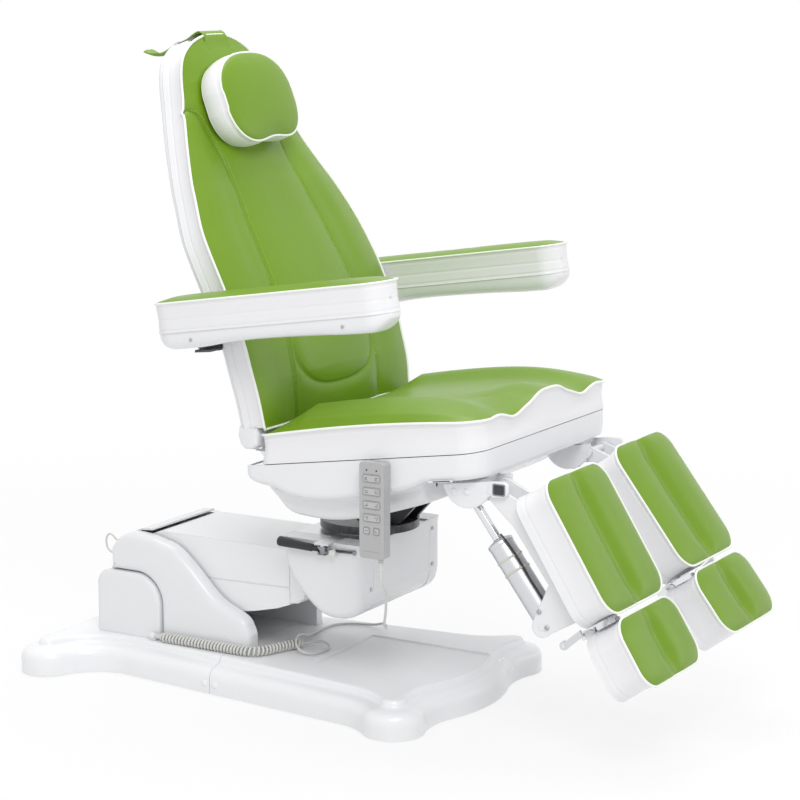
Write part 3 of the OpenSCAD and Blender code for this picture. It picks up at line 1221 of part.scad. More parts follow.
// Keys: share of the width and of the height to the middle, then shares of the width for their size
rocker_height_shares = [0.835, 0.7, 0.56, 0.425];
rocker_size_shares = [0.72, 0.3];
push_place_shares = [[0.3, 0.29], [0.7, 0.29]];
push_size_share = 0.26;
handset_corner = 7;
module round_slab(x0, x1, a, b, r) {
  // Slab with round corners between two opposite corners in the side plane
  translate([x1, 0, 0]) rotate([90, 0, -90]) linear_extrude(x1 - x0) hull()
    for (p = [a + [r, r], [b[0] - r, a[1] + r], b - [r, r], [a[0] + r, b[1] - r]]) translate(p) circle(r, $fn = 24);
}
function key_mid(fs, zs) = [handset_f + fs*handset_w, handset_z + zs*handset_h];
module key_slab(mid, size, e, x0, x1) {
  round_slab(x0, x1, mid - size/2 - [e, e], mid + size/2 + [e, e], size[1]*0.24 + e);
}
rocker_size = rocker_size_shares*handset_w;
push_size = [1, 1]*push_size_share*handset_w;
hook_w = 18;
hook_h = 14;
hook_place = [handset_f + handset_w/2, handset_top - hook_h*1.8];
strain_r = 5;
strain_len = 9;
cord_start = [handset_x + handset_t/2, handset_f + handset_w*0.75, handset_z - strain_len];
module handset_body() color(pale) {
  difference() {
    round_slab(face, -handset_x, [handset_f, handset_z], [handset_f + handset_w, handset_top], handset_corner);
    for (z = rocker_height_shares) key_slab(key_mid(0.5, z), rocker_size, key_gap, face - cut, face + pocket_deep);
    for (p = push_place_shares) key_slab(key_mid(p[0], p[1]), push_size, key_gap, face - cut, face + pocket_deep);
    // Fine line near the lower end
    slab(face - cut, face + key_gap, placed([[0, 0], [1, 0], [1, 1], [0, 1]],
      [handset_f + handset_corner, handset_z + handset_corner*2],
      [handset_f + handset_w - handset_corner, handset_z + handset_corner*2 + key_gap]));
  }
  // Hook in the seat shell and strain relief of the cord
  round_slab(-handset_x - bite, -handset_x + shell_wall, hook_place, hook_place + [hook_w, hook_h], hook_h*0.2);
  translate([-cord_start[0], -cord_start[1], cord_start[2]]) cylinder(h = strain_len + bite, r = strain_r);
}
module rocker_key(i) color(pale)
  key_slab(key_mid(0.5, rocker_height_shares[i]), rocker_size, 0, face - key_proud, face + key_deep);
module push_key(i) color(pale)
  key_slab(key_mid(push_place_shares[i][0], push_place_shares[i][1]), push_size, 0, face - key_proud, face + key_deep);

// Cords: routes as [x, rearward, up], smoothed through their points
function smooth(p, k, u) =
  let (a = p[max(k - 1, 0)], b = p[k], c = p[k + 1], d = p[min(k + 2, len(p) - 1)])
  0.5*(2*b + (c - a)*u + (2*a - 5*b + 4*c - d)*u*u + (3*b - a - 3*c + d)*u*u*u);
route_steps = 10;
function dense(p) = concat([for (k = [0:len(p) - 2], j = [0:route_steps - 1]) smooth(p, k, j/route_steps)], [p[len(p) - 1]]);
function lengths(p) = [for (i = 0, s = 0; i < len(p); s = i + 1 < len(p) ? s + norm(p[i + 1] - p[i]) : s, i = i + 1) s];
function table(p, s, k) = [for (i = [0:len(p) - 1]) [s[i], p[i][k]]];
function sample(p, step) =
  let (d = dense(p), s = lengths(d), n = round(s[len(s) - 1]/step), x = table(d, s, 0), y = table(d, s, 1), z = table(d, s, 2))
  [for (i = [0:n]) let (at = s[len(s) - 1]*i/n) [lookup(at, x), lookup(at, y), lookup(at, z)]];
// Frames carried along a line without twist
function frames(p, r0) = [for (i = 0, r = r0; i < len(p);
  r = i + 1 < len(p) ? unit(r - (r*tube_dir(p, i + 1))*tube_dir(p, i + 1)) : r, i = i + 1) r];
cord_step = cord_d*2.9;
drop_route = [[-312.5, -340, 366], [-312.5, -340, 354], [-312.5, -340, 342], [-312.5, -340, 330], [-300, -336, 316], [-267, -324, 292], [-224, -298, 240],
  [-190, -274, 202], [-138, -247, 177], [-53, -195, 152], [20, -150, 130], [61, -129, 118], [77, -118, 114], [93, -107, 110]];
lower_route = [[-40, 6, 85.3], [-28, -3, 85.3], [-16, -12, 85.3], [-14, -26, 80], [-30, -38, 77.5], [-62, -40, 77.5], [-90, -30, 78.5],
  [-98, -10, 84], [-88, 8, 95], [-64, 20, 103], [-32, 28, 99], [18, 42, 84], [80, 54, 77.5], [130, 50, 77.5], [162, 22, 77.5],
  [172, -24, 79], [160, -54, 88], [143, -73, 96], [125.4, -84.7, 101.9], [109.4, -95.7, 105.9], [93.4, -106.7, 109.9]];
curl_route = [for (p = [[-165, 324], [-165, 290], [-165, 250], [-165, 200], [-165, 150], [-165, 115], [-165, 94], [-162, 77],
  [-153, 64], [-138, 54], [-116, 46], [-92, 37], [-72, 29], [-60, 21], [-50, 13.5], [-40, 6]]) [p[0], p[1], 85.3]];
module cord(route) color(pale)
  let (p = sample(route, cord_step)) tube(p, cord_d/2, 8, frames(p, unit(cross(tube_dir(p, 0), [1, 1, 1]))));
module drop_cord() cord(drop_route);
module lower_cord() cord(lower_route);
curl_sides = 6;
curl_rings = 8;
curl_axis = dense(curl_route);
curl_lengths = lengths(curl_axis);
curl_total = curl_lengths[len(curl_lengths) - 1];
curl_x = table(curl_axis, curl_lengths, 0);
curl_y = table(curl_axis, curl_lengths, 1);
curl_z = table(curl_axis, curl_lengths, 2);
function curl_at(s) = [lookup(s, curl_x), lookup(s, curl_y), lookup(s, curl_z)];
function curl_dir(s) = unit(curl_at(min(curl_total, s + cord_d)) - curl_at(max(0, s - cord_d)));
function curl_out(s, turn) = let (a = unit(cross([0, 0, 1], curl_dir(s)))) cos(turn)*a + sin(turn)*[0, 0, 1];
curl_n = curl_count*curl_rings;
curl_ramp_rings = 6;
function curl_s(i) = cord_d*1.5 + (curl_total - cord_d*3)*i/curl_n;
function curl_wide(i) = (curl_d - cord_d)/2*min(1, i/curl_ramp_rings, (curl_n - i)/curl_ramp_rings);
curl_path = concat([curl_at(0), curl_at(cord_d)],
  [for (i = [0:curl_n]) curl_at(curl_s(i)) + curl_wide(i)*curl_out(curl_s(i), 360*i/curl_rings)],
  [curl_at(curl_total - cord_d), curl_at(curl_total)]);
curl_refs = concat([curl_out(0, 0), curl_out(0, 0)], [for (i = [0:curl_n]) curl_out(curl_s(i), 360*i/curl_rings)],
  [curl_out(curl_total, 0), curl_out(curl_total, 0)]);
echo(curly_cord_least_gap = self_gap(curl_path, cord_d, curl_rings - 2, curl_rings*2));
module curly_cord() color(pale) tube(curl_path, cord_d/2, curl_sides, curl_refs);

base_frame();
levelling_feet();
front_base_cover();
rear_base_cover();
side_cover();  // near_housing_cover
mirror([1, 0, 0]) side_cover();  // far_housing_cover
rear_housing_cover();
control_box();
rear_cable();
curly_cord();
lower_cord();
drop_cord();
lift_actuator_tube();
lift_actuator_rod();
lift_arm();
arm_cover();
parallel_links();
head_frame();
head_cover();  // near_head_cover
mirror([1, 0, 0]) head_cover();  // far_head_cover
head_front_plate();
swivel_lever();
swivel_plate();
seat_frame();
seat_shell();
seat_cushion();
back_frame();
back_cushion();
back_shell();
head_pillow();
head_strap();
rest_cushion(-1);  // near_armrest_cushion
rest_cushion(1);  // far_armrest_cushion
rest_shell(-1);  // near_armrest_shell
rest_shell(1);  // far_armrest_shell
rest_bracket(-1);  // near_armrest_bracket
rest_bracket(1);  // far_armrest_bracket
leg_bracket(-1);  // near_leg_bracket
leg_bracket(1);  // far_leg_bracket
leg_frame(-1);  // near_leg_frame
leg_frame(1);  // far_leg_frame
calf(-1);  // near_calf_cushion
calf(1);  // far_calf_cushion
foot_carriage(-1);  // near_foot_carriage
foot_carriage(1);  // far_foot_carriage
foot_cushion(-1);  // near_foot_cushion
foot_cushion(1);  // far_foot_cushion
foot_lever(-1);  // near_foot_lever
foot_lever(1);  // far_foot_lever
leg_tube(-1);  // near_leg_actuator_tube
leg_tube(1);  // far_leg_actuator_tube
leg_rod(-1);  // near_leg_actuator_rod
leg_rod(1);  // far_leg_actuator_rod
handset_body();
rocker_key(0);  // lift_key
rocker_key(1);  // recline_key
rocker_key(2);  // tilt_key
rocker_key(3);  // leg_key
push_key(0);  // flat_key
push_key(1);  // entry_key
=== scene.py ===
import math
import bmesh
import bpy
import numpy as np
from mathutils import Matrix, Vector


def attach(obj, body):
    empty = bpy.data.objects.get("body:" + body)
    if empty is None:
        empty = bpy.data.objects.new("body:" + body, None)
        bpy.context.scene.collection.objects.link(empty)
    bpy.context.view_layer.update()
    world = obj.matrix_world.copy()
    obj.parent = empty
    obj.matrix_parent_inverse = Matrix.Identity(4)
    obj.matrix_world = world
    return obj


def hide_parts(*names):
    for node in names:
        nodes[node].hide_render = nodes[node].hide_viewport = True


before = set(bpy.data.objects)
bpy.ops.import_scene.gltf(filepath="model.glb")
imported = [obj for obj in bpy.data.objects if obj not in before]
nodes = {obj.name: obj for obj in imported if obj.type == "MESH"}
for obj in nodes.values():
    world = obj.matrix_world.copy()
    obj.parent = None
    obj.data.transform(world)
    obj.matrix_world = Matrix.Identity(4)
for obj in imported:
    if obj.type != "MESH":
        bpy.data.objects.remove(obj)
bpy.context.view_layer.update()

# ---------------------------------------------------------------- studio
# The chair stands in a white studio: a pale floor, a broad soft lamp high on the left, a second one overhead,
# a weak one on the right and a bright room around it. The camera looks from the front left.
camera_data = bpy.data.cameras.new("camera")
camera_data.lens = 107.39
camera_data.sensor_width = 36.0
camera = bpy.data.objects.new("camera", camera_data)
bpy.context.scene.collection.objects.link(camera)
turn, drop = math.radians(30.54), math.radians(10.2)
camera.location = (-4.2444, -2.7036, 1.5189)
looking = Vector((math.cos(turn)*math.cos(drop), math.sin(turn)*math.cos(drop), -math.sin(drop)))
camera.rotation_euler = looking.to_track_quat("-Z", "Y").to_euler()
bpy.context.scene.camera = camera
bpy.context.scene.view_settings.view_transform = "Standard"


def plug(t, socket, value):
    """Sets a socket to a number or a colour, or links it to another socket."""
    if isinstance(value, bpy.types.NodeSocket):
        t.links.new(value, socket)
    else:
        socket.default_value = value


def calc(t, operation, a, b=None, clamp=False):
    """One sum in a node tree; a and b are sockets or plain numbers."""
    n = t.nodes.new("ShaderNodeMath")
    n.operation, n.use_clamp = operation, clamp
    plug(t, n.inputs[0], a)
    if b is not None:
        plug(t, n.inputs[1], b)
    return n.outputs[0]


def show_directly(t, lit, shown, end, share=1.0):
    """Ends a tree with one shader for light that falls on the object, and another for what the camera,
    a gloss or a glass shows; share is how much of the second one shows."""
    path = t.nodes.new("ShaderNodeLightPath")
    seen = path.outputs["Is Camera Ray"]
    for ray in ("Is Glossy Ray", "Is Transmission Ray"):
        seen = calc(t, "MAXIMUM", seen, path.outputs[ray])
    mix = t.nodes.new("ShaderNodeMixShader")
    plug(t, mix.inputs[0], calc(t, "MULTIPLY", seen, share))
    plug(t, mix.inputs[1], lit.outputs[0])
    plug(t, mix.inputs[2], shown.outputs[0])
    plug(t, end.inputs["Surface"], mix.outputs[0])


world = bpy.data.worlds.new("room")
bpy.context.scene.world = world
world.use_nodes = True
room = world.node_tree
room_light, white_room = room.nodes["Background"], room.nodes.new("ShaderNodeBackground")
for background, strength in ((room_light, 0.70), (white_room, 1.0)):
    background.inputs["Color"].default_value = (1, 1, 1, 1)
    background.inputs["Strength"].default_value = strength
show_directly(room, room_light, white_room, room.nodes["World Output"])

lamps_aim = Vector((0, 0, 0.6))
for name, place, size, power in (("main_lamp", (-2.6, -2.2, 3.6), 2.2, 74), ("top_lamp", (0.6, 0.4, 4.0), 2.6, 50),
                                 ("side_lamp", (2.4, -3.4, 1.5), 1.8, 12)):
    light = bpy.data.lights.new(name, "AREA")
    light.shape, light.size, light.energy = "DISK", size, power
    lamp = bpy.data.objects.new(name, light)
    lamp.location = place
    lamp.rotation_euler = (lamps_aim - Vector(place)).to_track_quat("-Z", "Y").to_euler()
    bpy.context.scene.collection.objects.link(lamp)


def mesh_piece(name, points, faces, materials, face_material=None, smooth=True):
    """A new object from points in metres and faces given as rows of point numbers."""
    data = bpy.data.meshes.new(name)
    data.from_pydata([tuple(map(float, p)) for p in points], [], [tuple(map(int, f)) for f in faces])
    for m in materials:
        data.materials.append(m)
    if face_material is not None:
        data.polygons.foreach_set("material_index", np.asarray(face_material, np.int32))
    data.polygons.foreach_set("use_smooth", np.full(len(data.polygons), smooth))
    data.update()
    obj = bpy.data.objects.new(name, data)
    bpy.context.scene.collection.objects.link(obj)
    return obj


def finish(name, colour, rough, metal=0.0, coat=0.0):
    """A material with its shader and, ready to plug in, its object coordinates."""
    m = bpy.data.materials.new(name)
    m.use_nodes = True
    shader = m.node_tree.nodes["Principled BSDF"]
    shader.inputs["Base Color"].default_value = (*colour, 1)
    shader.inputs["Roughness"].default_value = rough
    shader.inputs["Metallic"].default_value = metal
    shader.inputs["Coat Weight"].default_value = coat
    shader.inputs["Coat Roughness"].default_value = 0.12
    m.diffuse_color = (*colour, 1)
    return m


def paint_floor():
    """A lit floor that holds the shadow under the chair and fades to plain white further out."""
    m = finish("studio_floor", (0.86, 0.86, 0.86), 0.9)
    t = m.node_tree
    glow = t.nodes.new("ShaderNodeEmission")
    glow.inputs["Strength"].default_value = 1.0
    spot, span, fade = (t.nodes.new("ShaderNode" + kind) for kind in ("TexCoord", "VectorMath", "MapRange"))
    span.operation, fade.interpolation_type = "LENGTH", "SMOOTHSTEP"
    plug(t, span.inputs[0], spot.outputs["Object"])
    for socket, value in (("Value", span.outputs["Value"]), ("From Min", 0.9), ("From Max", 3.2), ("To Min", 0.80),
                          ("To Max", 1.0)):
        plug(t, fade.inputs[socket], value)
    show_directly(t, t.nodes["Principled BSDF"], glow, t.nodes["Material Output"], fade.outputs[0])
    return m


floor_reach, floor_level = 30.0, -0.0005
floor_corners = [(x*floor_reach, y*floor_reach, floor_level) for x, y in ((-1, -1), (1, -1), (1, 1), (-1, 1))]
mesh_piece("studio_floor", floor_corners, [(0, 1, 2, 3)], [paint_floor()], smooth=False)

# ---------------------------------------------------------------- cords
# The handset hangs on a light grey vinyl cord. Its curled part lies on the deck of the base, and its plain part
# runs to the middle of the base, where it meets the cord that drops from the handset. A short loop of the
# same cord bridges two outlets behind the housing.
mm = 0.001


def srgb(red, green, blue):
    """A colour as a picture gives it, 0 to 255, turned into the light that a material reflects."""
    return tuple((c/255/12.92 if c <= 10 else ((c/255 + 0.055)/1.055)**2.4) for c in (red, green, blue))


def effect(name, inputs, outputs):
    """An empty node group with named inputs and outputs, to be filled and then placed in materials."""
    g = bpy.data.node_groups.new(name, "ShaderNodeTree")
    for label, value in inputs:
        g.interface.new_socket(label, in_out="INPUT", socket_type="NodeSocketFloat").default_value = value
    for label in outputs:
        g.interface.new_socket(label, in_out="OUTPUT", socket_type="NodeSocketFloat")
    return g, g.nodes.new("NodeGroupInput"), g.nodes.new("NodeGroupOutput"), g.nodes.new("ShaderNodeTexCoord")


def noise(t, where, scale, detail=2.0):
    """Soft noise of a given number of spots per metre."""
    n = t.nodes.new("ShaderNodeTexNoise")
    for socket, value in (("Vector", where), ("Scale", scale), ("Detail", detail)):
        plug(t, n.inputs[socket], value)
    return n.outputs["Fac"]


# Grain: the skin of vinyl, moulded plastic and cord, as pebbles of a given number per metre, with a slow drift of tone.
grain, given, result, place = effect("grain", [("Pebbles", 700.0), ("Depth", 0.0001)], ["Height", "Tone"])
spot = place.outputs["Object"]
pebble = grain.nodes.new("ShaderNodeTexVoronoi")
pebble.feature = "SMOOTH_F1"
plug(grain, pebble.inputs["Vector"], spot)
plug(grain, pebble.inputs["Scale"], given.outputs["Pebbles"])
fine = noise(grain, spot, calc(grain, "MULTIPLY", given.outputs["Pebbles"], 0.35))
relief = calc(grain, "ADD", pebble.outputs["Distance"], fine)
plug(grain, result.inputs["Height"], calc(grain, "MULTIPLY", relief, given.outputs["Depth"]))
slow = noise(grain, spot, 7.0, 3.0)
drifting = calc(grain, "ADD", calc(grain, "MULTIPLY", slow, 0.8), calc(grain, "MULTIPLY", fine, 0.2))
plug(grain, result.inputs["Tone"], drifting)

# Wear: where edges are rubbed bare, and where dust settles on what faces up.
wear, given, result, place = effect("wear", [("Rub", 0.5), ("Dust", 0.5)], ["Edge", "Dust"])
shape = wear.nodes.new("ShaderNodeNewGeometry")
sharp = calc(wear, "MULTIPLY", calc(wear, "SUBTRACT", shape.outputs["Pointiness"], 0.54), 9.0, clamp=True)
patchy = calc(wear, "MULTIPLY", sharp, noise(wear, place.outputs["Object"], 60.0, 4.0))
plug(wear, result.inputs["Edge"], calc(wear, "MULTIPLY", patchy, given.outputs["Rub"], clamp=True))
split = wear.nodes.new("ShaderNodeSeparateXYZ")
plug(wear, split.inputs[0], shape.outputs["Normal"])
level = calc(wear, "POWER", calc(wear, "MAXIMUM", split.outputs["Z"], 0.0), 4.0)
settled = calc(wear, "MULTIPLY", level, noise(wear, place.outputs["Object"], 25.0, 5.0))
plug(wear, result.inputs["Dust"], calc(wear, "MULTIPLY", settled, given.outputs["Dust"], clamp=True))


def placed(t, group, **values):
    """A node group in a material, with the material's own values."""
    n = t.nodes.new("ShaderNodeGroup")
    n.node_tree = group
    for socket, value in values.items():
        n.inputs[socket].default_value = value
    return n


def blend_colour(t, share, first, second):
    """A mix of two colours, each a socket or three numbers."""
    n = t.nodes.new("ShaderNodeMix")
    n.data_type = "RGBA"
    for socket, v in (("Factor", share), ("A", first), ("B", second)):
        plug(t, n.inputs[socket], (*v, 1) if isinstance(v, tuple) else v)
    return n.outputs["Result"]


def skin(name, colour, rough, pebbles=700.0, depth=0.00005, metal=0.0, coat=0.0, drift=0.05, rub=0.2, dust=0.05,
         edge=0.0):
    """A finished material: grain, drift of tone and roughness, rubbed edges and a little dust. edge is the
    radius, in metres, by which sharp edges look rounded."""
    m = finish(name, colour, rough, metal, coat)
    t = m.node_tree
    shader = t.nodes["Principled BSDF"]
    g, w = placed(t, grain, Pebbles=pebbles, Depth=depth), placed(t, wear, Rub=rub, Dust=dust)
    deep = tuple(c*(1 - 2*drift) for c in colour)
    pale = tuple(min(1.0, c*(1 + drift)) for c in colour)
    tone = blend_colour(t, g.outputs["Tone"], deep, pale)
    rubbed = blend_colour(t, w.outputs["Edge"], tone, tuple(c + (0.9 - c)*0.35 for c in colour))
    plug(t, shader.inputs["Base Color"], blend_colour(t, w.outputs["Dust"], rubbed, (0.72, 0.71, 0.69)))
    uneven = calc(t, "MULTIPLY", calc(t, "SUBTRACT", g.outputs["Tone"], 0.5), 0.16)
    dulled = calc(t, "ADD", uneven, calc(t, "MULTIPLY", w.outputs["Dust"], 0.3))
    plug(t, shader.inputs["Roughness"], calc(t, "ADD", dulled, rough, clamp=True))
    bump = t.nodes.new("ShaderNodeBump")
    bump.inputs["Distance"].default_value = 1.0
    plug(t, bump.inputs["Height"], g.outputs["Height"])
    plug(t, shader.inputs["Normal"], bump.outputs[0])
    if edge:
        rounded = t.nodes.new("ShaderNodeBevel")
        rounded.samples = 6
        rounded.inputs["Radius"].default_value = edge
        plug(t, bump.inputs["Normal"], rounded.outputs[0])
    return m


cord_vinyl = skin("cord_vinyl", srgb(214, 214, 210), 0.42, pebbles=900, depth=0.00002)


def at(x, forward, z):
    """A place in metres, from mm across, forward and up."""
    return np.array((x, -forward, z))*mm


def through(points, per=10):
    """Points on the smooth curve through the given ones."""
    p = np.asarray(points, float)
    p = np.vstack([2*p[0] - p[1], p, 2*p[-1] - p[-2]])
    out = []
    for a, b, c, d in zip(p, p[1:], p[2:], p[3:]):
        for t in np.linspace(0, 1, per, endpoint=False):
            out.append(0.5*(2*b + (c - a)*t + (2*a - 5*b + 4*c - d)*t**2 + (3*b - a - 3*c + d)*t**3))
    return np.array(out + [p[-2]])


def spaced(path, count):
    """The same path with count points, evenly spaced along it."""
    along = np.concatenate([[0], np.cumsum(np.linalg.norm(np.diff(path, axis=0), axis=1))])
    want = np.linspace(0, along[-1], count)
    return np.stack([np.interp(want, along, path[:, k]) for k in range(3)], 1), along[-1]


def drawn(name, points, radius, material, closed=False, round_sides=6, kind="BEZIER"):
    """A round bar, cord or piping: one spline through the points, given its thickness."""
    data = bpy.data.curves.new(name, "CURVE")
    data.dimensions = "3D"
    data.bevel_depth = radius
    data.bevel_resolution = round_sides
    data.resolution_u = 2
    data.use_fill_caps = not closed
    line = data.splines.new(kind)
    if kind == "BEZIER":
        line.bezier_points.add(len(points) - 1)
        for b, p in zip(line.bezier_points, points):
            b.co = p
            b.handle_left_type = b.handle_right_type = "AUTO"
    else:
        line.points.add(len(points) - 1)
        for b, p in zip(line.points, points):
            b.co = (*p, 1)
    line.use_cyclic_u = closed
    data.materials.append(material)
    obj = bpy.data.objects.new(name, data)
    bpy.context.scene.collection.objects.link(obj)
    return obj


def run(points):
    """Length of a line of points."""
    return float(np.linalg.norm(np.diff(np.asarray(points), axis=0), axis=1).sum())


def fit(piece, body, slot, *stands_for):
    """Fixes a piece to its body and hides the CAD nodes that it stands for; slot is not used."""
    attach(piece, body)
    if stands_for:
        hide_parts(*stands_for)
    return piece


def free_cord(name, path, width, body, *stands_for):
    """A cord along a path in mm, with both ends in the object."""
    piece = fit(drawn(name, path*mm, width/2*mm, cord_vinyl), body, "pale", *stands_for)


cord_d = 5.4
curl_axis = [(-165, 324, 85.3), (-165, 290, 85.3), (-165, 250, 85.3), (-165, 200, 85.3), (-165, 150, 85.3),
             (-165, 115, 85.3), (-165, 94, 85.3), (-162, 77, 85.3), (-153, 64, 85.3), (-138, 54, 85.3),
             (-116, 46, 85.3), (-92, 37, 85.3), (-72, 29, 85.3), (-60, 21, 85.3), (-50, 13.5, 85.3), (-40, 6, 85.3)]
lower_route = [(-40, 6, 85.3), (-28, -3, 85.3), (-16, -12, 85.3), (-14, -26, 80), (-30, -38, 77.5), (-62, -40, 77.5),
               (-90, -30, 78.5), (-98, -10, 84), (-88, 8, 95), (-64, 20, 103), (-32, 28, 99), (18, 42, 84),
               (80, 54, 77.5), (130, 50, 77.5), (162, 22, 77.5), (172, -24, 79), (160, -54, 88), (143, -73, 96),
               (125.4, -84.7, 101.9), (109.4, -95.7, 105.9), (93.4, -106.7, 109.9)]
curls, curl_outer, points_per_curl = 46, 22.0, 14
axis, axis_length = spaced(through(curl_axis), curls*points_per_curl + 1)
ahead = np.gradient(axis, axis=0)
ahead /= np.linalg.norm(ahead, axis=1)[:, None]
aside = np.cross(ahead, (0, 0, 1.0))
share = np.linspace(0, axis_length, len(axis))
plain = 1.5*cord_d
reach = (curl_outer - cord_d)/2*np.clip((share - plain)/14, 0, 1)*np.clip((axis_length - plain - share)/14, 0, 1)
phase = 2*math.pi*curls*np.linspace(0, 1, len(axis))
curled = axis + reach[:, None]*(np.cos(phase)[:, None]*aside + np.sin(phase)[:, None]*np.array((0, 0, 1.0)))
plain_part, _ = spaced(through(lower_route), 40)
free_cord("handset_cord", np.vstack([curled, plain_part[1:]]), cord_d, "base", "curly_cord", "lower_cord")

drop_route = [(-312.5, -340, 366), (-312.5, -340, 354), (-312.5, -340, 342), (-312.5, -340, 330), (-300, -336, 316),
              (-267, -324, 292), (-224, -298, 240), (-190, -274, 202), (-138, -247, 177), (-53, -195, 152),
              (20, -150, 130), (61, -129, 118), (77, -118, 114), (93, -107, 110)]
free_cord("handset_drop_cord", spaced(through(drop_route), 36)[0], cord_d, "seat", "drop_cord")

loop_route = [(-100, 462, 268), (-100, 469, 268), (-100, 477, 271), (-100, 484, 277), (-100, 492, 281),
              (-100, 500, 277), (-100, 504, 268), (-100, 504, 257), (-100, 500, 247), (-99, 492, 240),
              (-98, 483, 237), (-97, 475, 235), (-97, 470, 229), (-97, 470, 222)]
free_cord("housing_loop_cable", spaced(through(loop_route), 30)[0], 4.5, "base", "rear_cable")


def numbered(rows, count, start=0):
    """Point numbers of rings that follow one another, each with count points."""
    return [list(range(start + k*count, start + (k + 1)*count)) for k in range(rows)]


def between(a, b):
    """Faces that join two closed rings of point numbers."""
    return list(zip(a, a[1:] + a[:1], b[1:] + b[:1], b))


def closed_form(rows, count, start=0):
    """Faces of a closed form: rings joined one to the next, with a face over either end."""
    rings = numbered(rows, count, start)
    walls = [face for a, b in zip(rings, rings[1:]) for face in between(a, b)]
    return [tuple(reversed(rings[0]))] + walls + [tuple(rings[-1])]


def turned(name, profile, start, axis, material, sides=40, hexagon=()):
    """A piece turned on a lathe: pairs of radius and distance along the axis, closed at both ends.
    Rows whose number is in hexagon are cut six-sided, as a hex socket is."""
    w = Vector(axis).normalized()
    u = w.orthogonal().normalized()
    v = w.cross(u)
    points = []
    for k, (r, d) in enumerate(profile):
        for i in range(sides):
            a = 2*math.pi*i/sides
            rr = r/math.cos((a + math.pi/6) % (math.pi/3) - math.pi/6) if k in hexagon else r
            points.append(Vector(start) + (w*d + (u*math.cos(a) + v*math.sin(a))*rr)*mm)
    return mesh_piece(name, points, closed_form(len(profile), sides), [material])


def sleeve(name, start, axis, body, length=24.0, thick=9.0):
    """Tapered, ribbed strain relief of soft vinyl."""
    profile, ribs = [(3.0, 0)], 5
    for k in range(ribs):
        r = thick/2 + 1.6 - (thick/2 - 1.6)*0.62*k/ribs
        a, b = length*k/ribs, length*(k + 1)/ribs
        profile += [(r - 0.9, a + 0.1), (r, a + 0.8), (r, a + length/ribs*0.55), (r - 0.9, b - 1.0)]
    profile += [(3.3, length), (2.9, length + 0.6)]
    fit(turned(name, profile, start, axis, cord_vinyl), body, "pale")


sleeve("cord_gland_sleeve", at(-165, -328, 85.3), (0, -1, 0), "base")
sleeve("handset_cord_sleeve", at(-312.5, 340, 372), (0, 0, -1), "seat", length=22.0, thick=8.0)

# ---------------------------------------------------------------- base
# Two moulded covers of white polymer, front and rear, clipped over a steel frame on four rubber feet.
# Skirt and crests are glossy, the deck that is stepped on has a fine stipple against slipping.
gloss_white = skin("gloss_white_plastic", srgb(232, 233, 235), 0.22, pebbles=260, depth=0.00002, coat=0.2, drift=0.01,
                   rub=0, dust=0.03)
cover_white = skin("cover_white_plastic", srgb(232, 233, 235), 0.24, pebbles=260, depth=0.00002, coat=0.2, drift=0.01,
                   rub=0, dust=0.03, edge=0.003)


def stippled(name, low, high, colour, edge=0.0):
    """Gloss white with a pebbled skin where it faces up between two heights."""
    m = skin(name, colour, 0.24, pebbles=260, depth=0.00002, coat=0.15, drift=0.01, rub=0, dust=0.04, edge=edge)
    t = m.node_tree
    shader = t.nodes["Principled BSDF"]
    spot, where, way = (t.nodes.new("ShaderNode" + kind) for kind in ("TexCoord", "SeparateXYZ", "SeparateXYZ"))
    plug(t, where.inputs[0], spot.outputs["Object"])
    plug(t, way.inputs[0], spot.outputs["Normal"])
    above = calc(t, "GREATER_THAN", where.outputs["Z"], low*mm)
    inside = calc(t, "MULTIPLY", above, calc(t, "LESS_THAN", where.outputs["Z"], high*mm))
    mask = calc(t, "MULTIPLY", calc(t, "GREATER_THAN", way.outputs["Z"], 0.85), inside)
    coarse = placed(t, grain, Pebbles=330, Depth=0.00035)
    height, rough = t.nodes["Bump"].inputs["Height"], shader.inputs["Roughness"]
    for socket, more in ((height, coarse.outputs["Height"]), (rough, 0.2)):
        plug(t, socket, calc(t, "ADD", socket.links[0].from_socket, calc(t, "MULTIPLY", mask, more)))
    return m


deck_white = stippled("base_cover_plastic", 66, 80, srgb(240, 241, 243))
arm_white = stippled("arm_cover_plastic", 60, 330, srgb(240, 241, 242), edge=0.003)
foot_rubber = skin("foot_rubber", srgb(38, 38, 39), 0.75, pebbles=500, depth=0.0001, dust=0.25)
frame_steel = skin("painted_frame_steel", srgb(176, 179, 183), 0.38, pebbles=320, depth=0.00005, metal=0.35, rub=0.5)
dark_case = skin("dark_case_plastic", srgb(40, 41, 44), 0.5, pebbles=600, depth=0.00006, dust=0.12)
black_steel = skin("black_painted_steel", srgb(32, 33, 36), 0.34, pebbles=380, depth=0.00004, metal=0.3, rub=0.6)
chrome = skin("polished_chrome", (0.78, 0.79, 0.81), 0.09, pebbles=180, depth=0.000004, metal=1.0, drift=0.02, rub=0,
              dust=0.02)
satin_metal = skin("satin_aluminium", (0.70, 0.71, 0.73), 0.32, pebbles=800, depth=0.00002, metal=1.0, drift=0.03,
                   rub=0.1, dust=0.03)
screw_steel = skin("screw_steel", (0.50, 0.50, 0.52), 0.3, pebbles=700, depth=0.00002, metal=1.0, rub=0.4, dust=0.1)
both_sides = ((-1, "near"), (1, "far"))


def coat(node, material):
    """Gives a CAD node its material."""
    for slot in nodes[node].material_slots:
        slot.material = material


for node, m in (("levelling_feet", foot_rubber), ("base_frame", frame_steel), ("control_box", dark_case)):
    coat(node, m)


def arc_points(centre, r, a0, a1, count):
    """Points on an arc from angle a0 to a1, in degrees."""
    a = np.radians(np.linspace(a0, a1, count))
    return np.stack([centre[0] + r*np.cos(a), centre[1] + r*np.sin(a)], 1)


